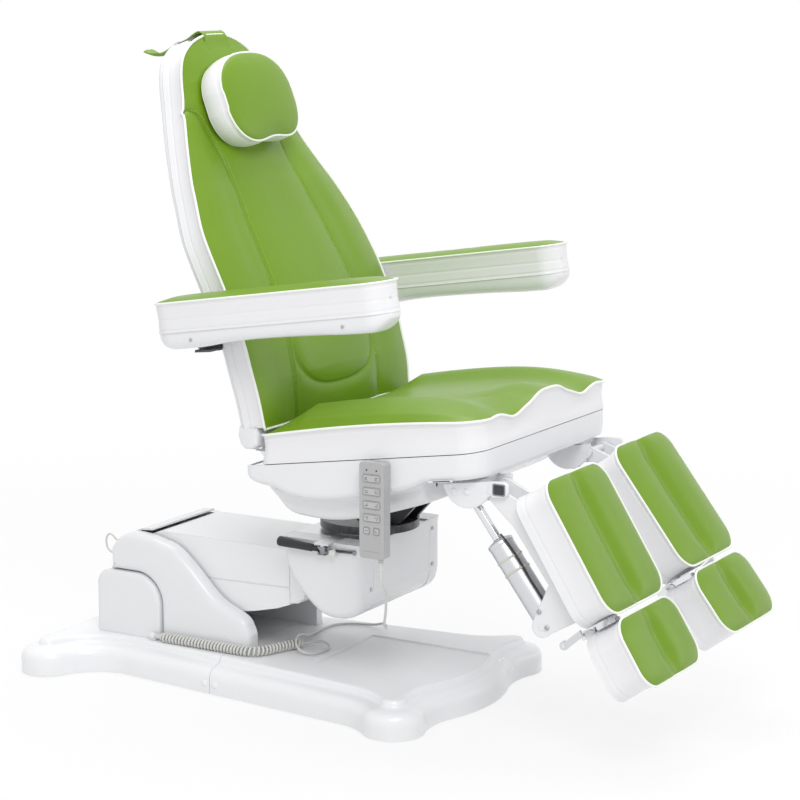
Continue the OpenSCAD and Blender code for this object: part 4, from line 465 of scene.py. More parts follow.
def angle_of(a, b):
    """The way from one point to another in plan, in degrees."""
    return math.degrees(math.atan2(b[1] - a[1], b[0] - a[0]))


base_half, base_front, base_rear, base_split, deck_z = 322.0, 400.0, 605.0, 134.0, 74.0
front_lobe_r, rear_lobe_r, front_hollow_r, rear_hollow_r = 64.0, 60.0, 140.0, 110.0
front_lobe = np.array((base_half - front_lobe_r, base_front - front_lobe_r))
front_hollow = front_lobe + (front_lobe_r + front_hollow_r)*np.array((0.74, -math.sqrt(1 - 0.74**2)))
rear_lobe = np.array((base_half - rear_lobe_r, rear_lobe_r - base_rear))
rear_hollow = rear_lobe + (rear_lobe_r + rear_hollow_r)*np.array((0.33, math.sqrt(1 - 0.33**2)))
bulge_r, dip_r = base_half*1.09, base_front*0.4
dip_x = base_half*0.56
dip = np.array((dip_x, front_lobe[1] + math.sqrt((front_lobe_r + dip_r)**2 - (front_lobe[0] - dip_x)**2)))
bulge = np.array((0, dip[1] - math.sqrt((bulge_r + dip_r)**2 - dip[0]**2)))
waist_way = front_hollow - rear_hollow
waist_turn = angle_of(rear_hollow, front_hollow)
waist_turn += math.degrees(math.acos((rear_hollow_r - front_hollow_r)/np.linalg.norm(waist_way)))


def base_outline(e):
    """The plan of the base, drawn in by e: lobes and hollows that meet in tangents, both halves."""
    side = np.vstack([
        arc_points(bulge, bulge_r - e, 90, angle_of(bulge, dip), 22),
        arc_points(dip, dip_r + e, angle_of(dip, bulge), -180 + angle_of(front_lobe, dip), 14)[1:],
        arc_points(front_lobe, front_lobe_r - e, angle_of(front_lobe, dip), angle_of(front_lobe, front_hollow), 36)[1:],
        arc_points(front_hollow, front_hollow_r + e, 180 + angle_of(front_lobe, front_hollow), waist_turn, 22)[1:],
        arc_points(rear_hollow, rear_hollow_r + e, waist_turn, 180 + angle_of(rear_lobe, rear_hollow), 22),
        arc_points(rear_lobe, rear_lobe_r - e, angle_of(rear_lobe, rear_hollow), -90, 36)[1:]])
    middle = np.stack([np.linspace(side[-1, 0], 0, 24)[1:], np.full(23, side[-1, 1])], 1)
    half = np.vstack([side, middle])
    return np.vstack([half, (half*np.array((-1, 1)))[-2:0:-1]])


def stacked(name, rings, material):
    """A closed form from outlines laid one on the other, all with the same number of points."""
    points = [p for ring in rings for p in ring]
    piece = mesh_piece(name, points, closed_form(len(rings), len(rings[0])), [material])
    whole_form = bmesh.new()
    whole_form.from_mesh(piece.data)
    bmesh.ops.recalc_face_normals(whole_form, faces=whole_form.faces)
    whole_form.to_mesh(piece.data)
    whole_form.free()
    piece.data.set_sharp_from_angle(angle=math.radians(50))
    return piece


def cut_away(piece, low, high=None, soft=0.0):
    """Cuts a form out of a piece: another piece, or a box between two corners in mm; soft bevels the box first."""
    if high is None:
        tool = low
    else:
        (x0, y0, z0), (x1, y1, z1) = low, high
        corners = [(x, y, z) for x in (x0, x1) for y in (y0, y1) for z in (z0, z1)]
        box_faces = [(0, 1, 3, 2), (4, 6, 7, 5), (0, 4, 5, 1), (2, 3, 7, 6), (0, 2, 6, 4), (1, 5, 7, 3)]
        tool = mesh_piece("cutter", np.array(corners)*mm, box_faces, [], smooth=False)
    if soft:
        round_off = tool.modifiers.new("round", "BEVEL")
        round_off.width, round_off.segments = soft*mm, 4
    cut = piece.modifiers.new("cut", "BOOLEAN")
    cut.operation, cut.object, cut.solver = "DIFFERENCE", tool, "EXACT"
    bpy.context.view_layer.update()
    done = bpy.data.meshes.new_from_object(piece.evaluated_get(bpy.context.evaluated_depsgraph_get()))
    piece.modifiers.clear()
    old, piece.data = piece.data, done
    bpy.data.meshes.remove(old)
    done.set_sharp_from_angle(angle=math.radians(38))
    old = tool.data
    bpy.data.objects.remove(tool)
    bpy.data.meshes.remove(old)


base_profile = [(0, 2), (0, 10), (0, 22), (0, 32), (0.6, 37), (2.0, 42), (4.4, 46.5), (8, 50.5), (12.5, 53.5),
                (18, 55.6), (25, 57.3), (31, 58.4), (35, 59.3), (37.4, 60.8), (38.8, 63.5), (39.8, 67), (41.2, 70.4),
                (43.6, 72.8), (47, 73.8), (51, deck_z)]
waist_out = np.array((math.cos(math.radians(waist_turn)), math.sin(math.radians(waist_turn))))
waist_rear, waist_front = rear_hollow + rear_hollow_r*waist_out, front_hollow + front_hollow_r*waist_out
half_joint, cap_from_joint, cap_z = 0.6, 14, 23
for front, name in ((True, "front_base_cover"), (False, "rear_base_cover")):
    rings = [[at(x, f, z) for x, f in base_outline(e)] for e, z in base_profile]
    cover = stacked(name + "_moulding", rings, deck_white)
    if front:
        cut_away(cover, (-500, base_split - half_joint, -50), (500, 900, 300))
        cut_away(cover, (-120, -500, deck_z - 4), (120, -60, 200), soft=3.0)
    else:
        cut_away(cover, (-500, -900, -50), (500, base_split + half_joint, 300))
        cut_away(cover, (-76, 235, -20), (76, 395, 200))
    fit(cover, "base", "white", name)
    f = -base_split + (cap_from_joint if front else -cap_from_joint)
    skirt_x = waist_rear[0] + (waist_front[0] - waist_rear[0])*(f - waist_rear[1])/(waist_front[1] - waist_rear[1])
    for x, side_name in both_sides:
        fit(turned(name + "_screw_cap_" + side_name, [(7.5, -2), (7.3, 0.6), (6.4, 2), (4.6, 3), (2.2, 3.5)],
                   at(x*skirt_x, f, cap_z), (x, 0, 0), deck_white), "base", "white")

# ---------------------------------------------------------------- rear housing
# Two bulged side covers and a hood of the same white polymer hide the rear uprights, and a lower box
# behind them holds the power supply. The side covers are clipped on and meet the box in an arched joint.


def smooth_line(points, per=8):
    """Points on the smooth curve through pairs of numbers."""
    return through([(a, b, 0) for a, b in points], per)[:, :2]


def even(outline, step=4.0):
    """A closed outline with its points spread evenly, corners kept as given."""
    out = []
    for a, b in zip(outline, np.roll(outline, -1, axis=0)):
        count = max(1, int(round(np.linalg.norm(b - a)/step)))
        out += [a + (b - a)*k/count for k in range(count)]
    return np.array(out)


def inset(outline, e, floor_z=None, roof_z=None):
    """The outline drawn in by e, and rounded as it goes; points on a floor or roof line stay on it."""
    run_way = np.roll(outline, -1, axis=0) - np.roll(outline, 1, axis=0)
    turn_in = np.stack([-run_way[:, 1], run_way[:, 0]], 1)
    turn_in /= np.linalg.norm(turn_in, axis=1)[:, None] + 1e-9
    area = 0.5*np.sum(outline[:, 0]*np.roll(outline[:, 1], -1) - np.roll(outline[:, 0], -1)*outline[:, 1])
    if area < 0:
        turn_in = -turn_in
    for _ in range(int(2 + e)):
        turn_in = (np.roll(turn_in, 1, axis=0) + turn_in*2 + np.roll(turn_in, -1, axis=0))/4
    moved = outline + turn_in*e
    if floor_z is not None:
        moved[outline[:, 1] < floor_z + 0.5, 1] = floor_z
        moved[:, 1] = np.maximum(moved[:, 1], floor_z)
    if roof_z is not None:
        moved[outline[:, 1] > roof_z - 0.5, 1] = roof_z
        moved[:, 1] = np.minimum(moved[:, 1], roof_z)
    return moved


def moulded(name, outline, side, profile, body, *stands_for, floor_z=None, roof_z=None, material=gloss_white,
            slot="white"):
    """A piece seen from the side: an outline of (forward, up) points and pairs of inset and |x|."""
    rings = [[at(side*x, f, z) for f, z in inset(np.asarray(outline), e, floor_z, roof_z)] for e, x in profile]
    return fit(stacked(name, rings, material), body, slot, *stands_for)


crest_shares = [(0, .87), (.043, .945), (.13, 1), (.234, 1), (.348, .975), (.462, .93), (.584, .81), (.761, .605),
                (.938, .5), (.984, .43), (1.0, .38)]
crest = smooth_line([(-455 + 368*a, 302*b) for a, b in crest_shares])
foot_z, arch_middle = 74.3, (-387, 150)
arch = np.vstack([arc_points(arch_middle, 67.2, 0, 90, 26), [(-455, 217.2)]])
cover_outline = even(np.vstack([crest, [(-87, foot_z + 20)], [(-87, foot_z)], [(-319.8, foot_z)], arch]))
box_outline = even(np.vstack([[(-489, foot_z), (-321, foot_z)], arc_points(arch_middle, 66, 0, 90, 26),
                              arc_points((-455, 182), 34, 90, 180, 16)]))
for side, name in both_sides:
    moulded(name + "_housing_side", cover_outline, side,
            [(0, 118.3), (0, 136), (0.8, 141.5), (2.6, 145.5), (5.6, 148.6), (9.5, 150.6), (14, 151.7), (19, 152.2)],
            "base", name + "_housing_cover", floor_z=foot_z)
    moulded(name + "_box_side", box_outline, side,
            [(0.2, 148.5), (0.2, 151.5), (1.6, 153.4), (4.5, 154.9), (9, 155.7), (14, 156)], "base", floor_z=foot_z)
coat("rear_housing_cover", cover_white)

# ---------------------------------------------------------------- lift
# A double steel arm with links and an electric actuator, all on shafts in the rear uprights. One moulded
# white cover is screwed over the arm and moves with it; its nose closes the front end.
for node, m in (("lift_arm", frame_steel), ("parallel_links", frame_steel), ("lift_actuator_tube", black_steel),
                ("lift_actuator_rod", chrome), ("arm_cover", arm_white)):
    coat(node, m)
nose_outline = [(-9.0, 188.0), (-9.0, 307.6), (40.0, 307.6), (40.0, 262.0), (36.0, 226.0), (26.0, 202.0), (12.0, 191.0)]
moulded("arm_cover_nose", even(np.array(nose_outline)), 1,
        ((3, -111), (0.8, -110.2), (0, -108), (0, 108), (0.8, 110.2), (3, 111)), "lift_arm", material=arm_white)

# ---------------------------------------------------------------- head
# The lifting head carries the swivel between two steel cheeks. Two bulged white covers and a front plate
# of moulded polymer are screwed to the cheeks.


def screw(name, place, axis, body, head=4.2):
    """Domed screw with a hex socket."""
    profile = [(0.9, -1.2/head), (1, 0), (1, 0.22), (0.86, 0.48), (0.62, 0.6), (0.42, 0.6), (0.42, 0.2), (0.1, 0.12)]
    fit(turned(name, [(head*r, head*d) for r, d in profile], place, axis, screw_steel, sides=36, hexagon=(5, 6)),
        body, "steel")


head_shares = [(.01, 1), (.02, .831), (.08, .554), (.231, .289), (.392, .108), (.513, .03), (.643, 0), (.774, .012),
               (.894, .072), (.97, .181), (1, .325)]
head_rear, head_front, head_foot, head_top = 6.0, 205.0, 186.0, 352.0
below = smooth_line([(head_rear + (head_front - head_rear)*a, head_foot + (head_top - head_foot)*b)
                     for a, b in head_shares])
head_outline = even(np.vstack([below, [(head_front, head_top)]]))
for side, name in both_sides:
    moulded(name + "_head_side", head_outline, side,
            [(0, 118.3), (0, 146), (0.6, 150.5), (2.2, 155.5), (4.8, 160), (8.4, 164), (12.6, 167), (17.5, 169),
             (23, 170)], "head", name + "_head_cover", roof_z=head_top)
    for k, z in enumerate((331.0, 252.0)):
        screw(name + "_head_screw_" + str(k), at(side*128.5, 205.2, z), (0, -1, 0), "head", head=4.4)
coat("head_front_plate", cover_white)
coat("head_frame", satin_metal)

# ---------------------------------------------------------------- swivel and its lock
# A black steel disc turns on the bearing ring of the head. A lever with a black grip and a chromed fork
# clamps it; a small white roller and a rod lead to the clamp.
roller_nylon = skin("roller_nylon", srgb(226, 226, 222), 0.4, pebbles=900, depth=0.00002)
shaded_chrome = skin("shaded_chrome", (0.30, 0.31, 0.33), 0.16, pebbles=300, depth=0.00001, metal=1.0, drift=0.05,
                     rub=0, dust=0.02)
coat("swivel_plate", black_steel)
lock = at(-183, 122, 338)
grip_profile = [(4.6, 9), (5.6, 10), (5.6, 25), (7.6, 26), (8.0, 28), (9.0, 62), (10.4, 96), (10.8, 104), (10.3, 107.5),
                (8.2, 109.3), (4.0, 110)]
fit(turned("swivel_lock_grip", grip_profile, lock, (0, 1, 0.06), dark_case), "swivel_lock", "dark", "swivel_lever")
fork_rings = []
for z, half_wide, fore, aft in ((-10, 6, 9, 9), (-9, 7, 10, 10.4), (7.6, 7, 10, 10.4), (8.8, 6, 9, 9)):
    plan = even(np.array([(-half_wide, -fore), (half_wide, -fore), (half_wide, aft), (-half_wide, aft)]))
    fork_rings.append([lock + np.array((x, y, z))*mm for x, y in plan])
fit(stacked("swivel_lock_fork", fork_rings, shaded_chrome), "swivel_lock", "chrome")
for name, offset, axis, profile, material in (
        ("lock_pivot_bolt", (0, 0, 9.3), (0, 0, 1), [(6.0, 0), (6.0, 3), (5.2, 4.2), (2.6, 4.6)], chrome),
        ("lock_roller", (2, -24, -4), (-1, 0, 0),
         [(4.0, -7), (7.6, -6.4), (8.2, -5), (7.4, 0), (8.2, 5), (7.6, 6.4), (4.0, 7)], roller_nylon),
        ("lock_rod", (4, -16, 0), (0.12, -1, 0), [(3.4, 0), (3.4, 52), (5.2, 52.4), (5.2, 57), (3.0, 58)],
         shaded_chrome)):
    fit(turned(name, profile, lock + np.array(offset)*mm, axis, material, sides=32), "head", "chrome")

# ---------------------------------------------------------------- seat shell and frame
# A moulded white shell closes the seat from below. The steel frame inside it carries the upright pins of the
# leg brackets, and polished trims edge the shell's lip above them; a dark strip in each trim is painted shade for its
# slot.
coat("seat_frame", chrome)
shell_under = [(0, 5), (8, 26), (40, 41), (76, 50), (112, 66), (161, 77), (232, 80), (298, 76), (370, 69), (402, 61),
               (416, 55), (424, 53), (440, 53), (500, 53), (560, 53)]
tub_under = [(14, 26), (30, 40), (38, 62), (72, 106), (112, 122), (189, 133), (279, 127), (395, 106), (466, 86),
             (505, 66), (517, 56)]
shell_curve, tub_curve = smooth_line(shell_under), smooth_line(tub_under)


def stations(count, ends=0.5):
    """Shares from 0 to 1, closer together at both ends."""
    t = np.linspace(0, 1, count)
    return (1 - ends)*t + ends*(0.5 - 0.5*np.cos(math.pi*t))


seat_slope = math.radians(8.5)
shell_rear, shell_front, shell_half = 2.0, 547.0, 298.0
tub_half, tub_front_half, tub_narrows_at = 252.0, 145.0, 412.0


def seat_line(f):
    """Height of the sloping line where cushion and shell meet."""
    return 526 + math.tan(seat_slope)*(f - 22)


def shell_section(f, e):
    """Half of the shell's cross-section as (x, z): side wall, round edge, step in to the tub, and its round bottom."""
    corner = 26.0 if f < 200 else 52.0
    left = min(corner, max(0.0, min(f - (shell_rear + e), shell_front - e - f)))
    wide = shell_half - e - corner + math.sqrt(max(0.0, corner**2 - (corner - left)**2))
    side = np.interp(f, shell_curve[:, 0], shell_curve[:, 1]) - e
    tub = max(side + 0.5, np.interp(f, tub_curve[:, 0], tub_curve[:, 1], left=0, right=0) - e)
    narrow = tub_front_half + (tub_half - tub_front_half)/(1 + math.exp((f - tub_narrows_at)/3)) - e
    narrow = min(narrow, wide - 4)
    r_side, r_tub = min(16.0, side*0.5), min(30.0, (tub - side)*0.75)
    step = min(12.0 if f < 404 else 4.0, (tub - side)*0.5)
    arcs = (((wide - r_side, r_side - side), r_side, -math.degrees(0.2), -90, 7),
            ((narrow + step, -side - step), step, 90, 180, 6), ((narrow - r_tub, r_tub - tub), r_tub, 0, -90, 9))
    return wide, np.vstack([[(wide, r_side - side)]] + [arc_points(*arc) for arc in arcs])


def shell_form(name, e, roof):
    """The whole shell, drawn in by e, up to roof above the seat line."""
    rings = []
    for f in shell_rear + e + (shell_front - shell_rear - 2*e)*stations(90, 0.75):
        wide, line = shell_section(f, e)
        half = np.vstack([[(wide, roof)], line])
        rings.append([at(x, f, seat_line(f) + z) for x, z in np.vstack([half, (half*(-1, 1))[::-1]])])
    return stacked(name, rings, gloss_white)


seat_shell = shell_form("seat_shell_moulding", 0.0, -0.5)
cut_away(seat_shell, shell_form("hollow", 5.0, 30.0))
cut_away(seat_shell, (-72, -190, 330), (72, -60, 480))
fit(seat_shell, "seat", "white", "seat_shell")
for side, name in both_sides:
    for part, f0, f1, h0, h1, x0, x1, material, slot in (
            ("_lip_trim", 440, 494, -53.0, -48.4, 297.0, 299.4, chrome, "chrome"),
            # the dark strip inside each trim is painted shade: it stands for the shade in the slot's opening
            ("_lip_slot_painted_shade", 450, 488, -51.8, -49.6, 299.0, 299.7, dark_case, "dark")):
        outline = [(f, seat_line(f) + h) for f, h in ((f0, h0), (f0, h1), (f1, h1), (f1, h0))]
        moulded(name + part, outline, side, ((0, x0), (0, x1)), "seat", material=material, slot=slot)

# ---------------------------------------------------------------- seat cushion
# Foam on board under green artificial leather, with a white side band and pale piping between the two.
# Two bolsters, two thigh troughs and a pommel at the front edge are cut into the foam.
green_vinyl = skin("green_vinyl", srgb(111, 148, 20), 0.36, pebbles=620, depth=0.00016, drift=0.05, rub=0.15, dust=0.02)
white_vinyl = skin("white_vinyl", srgb(234, 234, 236), 0.38, pebbles=620, depth=0.00014, drift=0.015, rub=0.1,
                   dust=0.03)
piping_vinyl = skin("piping_vinyl", srgb(243, 245, 240), 0.36, pebbles=620, depth=0.00008, drift=0.01, rub=0.1)
base_cloth = skin("underside_cloth", srgb(120, 122, 122), 0.85, pebbles=900, depth=0.00012)
for m, gloss, sheen in ((green_vinyl, 0.42, 0.04), (white_vinyl, 0.5, 0.06)):
    shader = m.node_tree.nodes["Principled BSDF"]
    for socket, value in (("Specular IOR Level", gloss), ("Sheen Weight", sheen), ("Sheen Roughness", 0.4)):
        shader.inputs[socket].default_value = value


def shares(rows, columns, v_ends, s_ends):
    """Two grids over a panel: shares across it, from -1 to 1, and along it, from 0 to 1, denser at the rim."""
    return np.meshgrid(2*stations(columns, s_ends) - 1, stations(rows, v_ends))


def grid_faces(number):
    """Faces over a grid of point numbers."""
    return list(np.stack([number[:-1, :-1], number[1:, :-1], number[1:, 1:], number[:-1, 1:]], -1).reshape(-1, 4))


def edge_of(rows, columns):
    """Places of the grid points round the rim of a panel, in order."""
    at_rim = [(i, 0) for i in range(rows)] + [(rows - 1, j) for j in range(1, columns)]
    at_rim += [(i, columns - 1) for i in range(rows - 2, -1, -1)] + [(0, j) for j in range(columns - 2, 0, -1)]
    return at_rim


def outward(rim, down):
    """Unit vectors out of a closed rim, square to its run and to the given direction."""
    run_way = np.roll(rim, -1, axis=0) - np.roll(rim, 1, axis=0)
    out = np.cross(run_way, down)
    out /= np.linalg.norm(out, axis=1)[:, None] + 1e-12
    if ((rim - rim.mean(axis=0))*out).sum() < 0:
        out = -out
    return out


def upholster(name, top, base, band, steps=12, under=None):
    """A closed cushion: a panel on top, a band round it down to the base, and the underside.
    band(q) is how far the band stands out at the share q of its height, in metres."""
    rows, columns = top.shape[:2]
    number = np.arange(rows*columns).reshape(rows, columns)
    rim = edge_of(rows, columns)
    up, low = (np.array([panel[spot] for spot in rim]) for panel in (top, base))
    out = outward(up, (low - up)/np.linalg.norm(low - up, axis=1)[:, None])
    points, faces = list(top.reshape(-1, 3)), grid_faces(number)
    kind = [0]*len(faces)
    ring = [number[spot] for spot in rim]
    for k in range(1, steps + 1):
        q = k/steps
        new = list(range(len(points), len(points) + len(rim)))
        points += list(up + (low - up)*q + out*band(q))
        faces += between(ring, new)
        ring = new
    kind += [1]*(len(faces) - len(kind))
    for spot, k in zip(rim, ring):
        number[spot] = k
    below = base[1:-1, 1:-1].reshape(-1, 3)
    number[1:-1, 1:-1] = len(points) + np.arange(len(below)).reshape(rows - 2, columns - 2)
    points += list(below)
    faces += grid_faces(number.T)
    kind += [2]*(len(faces) - len(kind))
    piece = mesh_piece(name, points, faces, [green_vinyl, white_vinyl, under or base_cloth], kind)
    return piece, up, out


def sewn(panel, seams, depth, width, back):
    """Draws a panel in along its seams: back is the unit direction into the foam."""
    flat = panel.reshape(-1, 3)
    near = np.full(len(flat), 1e3)
    for s in seams:
        for part in np.array_split(np.asarray(s), max(1, len(s)//60)):
            near = np.minimum(near, np.linalg.norm(flat[:, None] - part[None], axis=2).min(axis=1))
    pull = depth*np.exp(-(near/width)**2) + 0.55*depth*np.exp(-(near/(width*5))**2)
    return panel + (back*pull[:, None]).reshape(panel.shape)


def swell(panel, back, held=None, most=6.0, coarse=(46, 40)):
    """Blows the cover up over its foam: a cloth held at its rim and seams swells under pressure.
    Gives the moves of the whole panel, none of them longer than most."""
    rows, columns = panel.shape[:2]
    ii = np.unique(np.linspace(0, rows - 1, coarse[0]).round().astype(int))
    jj = np.unique(np.linspace(0, columns - 1, coarse[1]).round().astype(int))
    grid = panel[np.ix_(ii, jj)]
    a, b = grid.shape[:2]
    faces = grid_faces(np.arange(a*b).reshape(a, b))
    cloth = mesh_piece("cover_under_pressure", grid.reshape(-1, 3), faces, [])
    face = np.array(cloth.data.polygons[len(faces)//2].normal)
    if np.dot(face, back[len(back)//2]) > 0:
        cloth.data.flip_normals()
    fixed = cloth.vertex_groups.new(name="held")
    rim = [i*b + j for i in range(a) for j in range(b) if i in (0, a - 1) or j in (0, b - 1)]
    fixed.add(rim, 1.0, "REPLACE")
    if held is not None:
        near = np.full(a*b, 1e3)
        for s in held:
            near = np.minimum(near, np.linalg.norm(grid.reshape(-1, 1, 3) - np.asarray(s)[None], axis=2).min(axis=1))
        fixed.add([int(k) for k in np.nonzero(near < 0.009)[0]], 1.0, "REPLACE")
    soft = cloth.modifiers.new("cloth", "CLOTH")
    settings = soft.settings
    settings.quality = 5
    settings.mass = 0.3
    settings.tension_stiffness = settings.compression_stiffness = 12
    settings.shear_stiffness = 5
    settings.bending_stiffness = 0.6
    settings.vertex_group_mass = "held"
    settings.use_pressure = True
    settings.uniform_pressure_force = 3.0
    settings.shrink_min = -0.002
    settings.effector_weights.gravity = 0
    soft.collision_settings.use_collision = False
    soft.point_cache.frame_start, soft.point_cache.frame_end = 1, 20
    scene = bpy.context.scene
    for frame_number in range(1, 21):
        scene.frame_set(frame_number)
    settled = cloth.evaluated_get(bpy.context.evaluated_depsgraph_get()).data
    moved = np.array([v.co for v in settled.vertices]).reshape(a, b, 3) - grid
    scene.frame_set(1)
    data = cloth.data
    bpy.data.objects.remove(cloth)
    bpy.data.meshes.remove(data)
    far = np.linalg.norm(moved, axis=2, keepdims=True)
    moved *= np.minimum(1.0, most*mm/np.maximum(far, 1e-9))
    for _ in range(3):
        around = moved[2:, 1:-1] + moved[:-2, 1:-1] + moved[1:-1, 2:] + moved[1:-1, :-2]
        moved[1:-1, 1:-1] = (2*moved[1:-1, 1:-1] + around)/6
    wide = np.stack([[np.interp(np.arange(columns), jj, moved[i, :, k]) for k in range(3)] for i in range(a)])
    tall = np.stack([[np.interp(np.arange(rows), ii, wide[:, k, j]) for k in range(3)] for j in range(columns)])
    return tall.transpose(2, 0, 1)


def foam_pad(name, top, base, band, steps, body, node, welt_name, up, radius, under=None):
    """An upholstered cushion and, along the rim of its panel, the welt: a cord wrapped in vinyl and sewn in.
    up is the way the panel faces, radius is the cord's in mm."""
    piece, rim, out = upholster(name, top, base, band, steps, under)
    fit(piece, body, "green", node)
    line = rim + out*radius*mm*0.35 + np.array(up)*radius*mm*0.2
    path, _ = spaced(np.vstack([line, line[:1]]), 260)
    fit(drawn(welt_name, path[:-1], radius*mm, piping_vinyl, closed=True, round_sides=4, kind="POLY"), body, "green")


def stitches(name, line, body, material, pitch=6.0, length=3.8, thick=0.55):
    """A row of single stitches along a line of points."""
    count = max(2, int(run(line)/(pitch*mm)))
    path, _ = spaced(np.asarray(line), count*3 + 1)
    points, faces, sides = [], [], 5
    for a, b in zip(path[:-1:3], path[2::3]):
        way = (b - a)/np.linalg.norm(b - a)
        b = a + way*length*mm
        u = np.cross(way, (0.3, 0.5, 0.8))
        u /= np.linalg.norm(u)
        v = np.cross(way, u)
        faces += closed_form(4, sides, len(points))
        for end, r in ((a, 0.35), (a + way*0.5*mm, 1.0), (b - way*0.5*mm, 1.0), (b, 0.35)):
            for t in np.arange(sides)*2*math.pi/sides:
                points.append(end + (u*math.cos(t) + v*math.sin(t))*r*thick*mm)
    fit(mesh_piece(name, points, faces, [material]), body, "green")


seat_rear, seat_front, seat_half, seat_corner, seat_rear_corner = 40.0, 548.0, 298.0, 52.0, 26.0


def hump(x, middle, spread):
    """A smooth hump, 1 at its middle."""
    return np.exp(-((x - middle)/spread)**2)


def seat_width(v):
    """Half the width of the seat cushion at a share of its length, with rounded corners."""
    left = np.minimum((1 - v)*(seat_front - seat_rear), seat_corner)
    rounded = seat_half - seat_corner + np.sqrt(np.maximum(0, seat_corner**2 - (seat_corner - left)**2))
    back = seat_rear_corner - np.minimum(v*(seat_front - seat_rear), seat_rear_corner)
    return rounded - seat_rear_corner + np.sqrt(np.maximum(0, seat_rear_corner**2 - back**2))


def seat_face(s, v):
    """Height of the cushion's forms over its plain top: bolsters, crown, pommel, thigh troughs and falling rim."""
    ramp = np.minimum(1, np.maximum(0, v - 0.04)*7)
    rounded = np.minimum(1, (1 - np.abs(s))*16)
    bolster = 27*hump(np.abs(s), 0.72, np.where(np.abs(s) < 0.72, 0.16, 0.26))*ramp*(1 - v**7)
    crown = 8.5*(1 - s**4)*ramp*(1 - v**7)
    rim = 8.0*np.abs(s)**7
    pommel = 15.5*np.exp(-(s/0.27)**4)*v**5 + 10*hump(s, 0, 0.2)*hump(v, 0.86, 0.1)
    trough = 17.5*hump(np.abs(s), 0.61, 0.19)*v**9
    return (bolster + crown)*np.maximum(0.0, rounded)**0.5 + pommel - trough - rim


def seat_point(s, v):
    """A place on top of the seat cushion, from shares across it and along it."""
    f = seat_rear + (seat_front - seat_rear)*v
    z = seat_line(f) + 68 + 8*np.sin(math.pi*v) + seat_face(s, v)
    return np.stack([s*(seat_width(v) - 1.5), -f, z], -1)*mm


seat_top = seat_point(*shares(120, 130, 0.85, 0.5))
seat_base = seat_top.copy()
seat_base[..., 2] = (seat_line(-seat_base[..., 1]/mm) + 1.0)*mm
seat_down = np.array([(0, 0, -1.0)])
crease = [seat_point(s, v) for s, v in zip(-0.27 + 0.05*np.sin(np.linspace(0, 3, 30)), np.linspace(0.80, 0.93, 30))]
other_crease = [p*np.array((-1, 1, 1)) for p in crease]
seat_top = seat_top + swell(seat_top, seat_down, most=5.0)
seat_top = sewn(seat_top, [crease, other_crease], 0.0022, 0.006, seat_down)


def seat_band(q):
    """Bow of the seat's band, with a groove under the piping."""
    return (-4.0*math.sin(math.pi*min(1.0, q*1.15)) - 1.2*math.exp(-((q - 0.13)/0.03)**2))*mm


foam_pad("seat_cushion_cover", seat_top, seat_base, seat_band, 16, "seat", "seat_cushion", "seat_piping",
         (0, 0, 1.0), 2.7)

# ---------------------------------------------------------------- backrest
# A plywood back with foam, green leather in front and a white band round its edge. Two long seams part the
# side bolsters from the middle, and a curved seam below bounds the lumbar roll. A moulded shell closes the rear.
back_table = [(0, 0, .96), (.078, .029, .985), (.155, .081, .995), (.233, .139, 1), (.355, .274, 1), (.447, .397, .985),
              (.509, .485, .955), (.583, .584, .88), (.632, .655, .82), (.719, .765, .705), (.814, .861, .597),
              (.899, .94, .508), (.945, .978, .427), (.976, 1, .31), (.992, 1.01, .2), (1, 1.015, .1)]
back_line = through(back_table, 14)
back_line[:, 0] = np.maximum.accumulate(back_line[:, 0])
back_foot_f, back_foot_z, back_lean, back_tall, back_half = 51.0, 603.0, 310.0, 780.0, 300.0
slope_span = 0.02


def back_point(s, v, depth):
    """A place on the back: share across, share up, and how far it stands out in front of the leaning line."""
    setback, before, after = (np.interp(q, back_line[:, 0], back_line[:, 1])
                              for q in (v, v - slope_span, v + slope_span))
    width = np.interp(v, back_line[:, 0], back_line[:, 2])
    rate = back_lean*(after - before)
    rise = back_tall*(np.minimum(v + slope_span, 1) - np.maximum(v - slope_span, 0))
    size = np.sqrt(rate**2 + rise**2)
    f = back_foot_f - back_lean*setback + depth*rise/size
    z = back_foot_z + back_tall*v + depth*rate/size
    return np.stack([s*back_half*width, -f, z], -1)*mm


def back_face(s, v):
    """How far the front stands out: crown, hollows beside the bolsters, and lumbar roll."""
    crown = 15*(1 - s**4)*np.minimum(1, 6*v + 0.3)*np.minimum(1, (1 - v)*8)
    bolster = -7*hump(np.abs(s), 0.6, 0.13)*(1 - v**4)
    roll = 12*hump(s, 0, 0.5)*hump(v, 0.2, 0.13)
    return crown + bolster + roll


back_s, back_v = shares(270, 190, 0.5, 0.3)
back_top = back_point(back_s, back_v, back_face(back_s, back_v))
back_base = back_point(back_s, back_v, -50 + 0*back_s)
into_back = (back_base - back_top).reshape(-1, 3)
into_back = into_back/np.linalg.norm(into_back, axis=1)[:, None]


def on_back(places, lift=0.0):
    """A smooth line on the front of the back through points given as shares."""
    size = np.array((0.28, 0.78, 1))
    line, _ = spaced(through([(s, v, 0) for s, v in places], 14)*size, 220)
    s, v = (line/size)[:, :2].T
    return back_point(s, v, back_face(s, v) + lift)


long_seam = [(-1, .803), (-.93, .806), (-.83, .797), (-.75, .78), (-.67, .752), (-.58, .716), (-.515, .67),
             (-.487, .614), (-.472, .549), (-.47, .474), (-.478, .404), (-.49, .346), (-.51, .28), (-.53, .206),
             (-.545, .14), (-.56, .07), (-.57, 0)]
far_long_seam = [(-s, v) for s, v in long_seam]
lumbar_half = [(-.52, .235), (-.505, .18), (-.47, .135), (-.40, .104), (-.30, .086), (-.17, .076)]
lumbar_seam = lumbar_half + [(0, .073)] + [(-s, v) for s, v in reversed(lumbar_half)]
seams = [on_back(line) for line in (long_seam, far_long_seam, lumbar_seam)]
back_top = back_top + swell(back_top, into_back, held=seams, most=6.0, coarse=(70, 46))
back_top = sewn(back_top, seams, 0.0046, 0.0027, into_back)


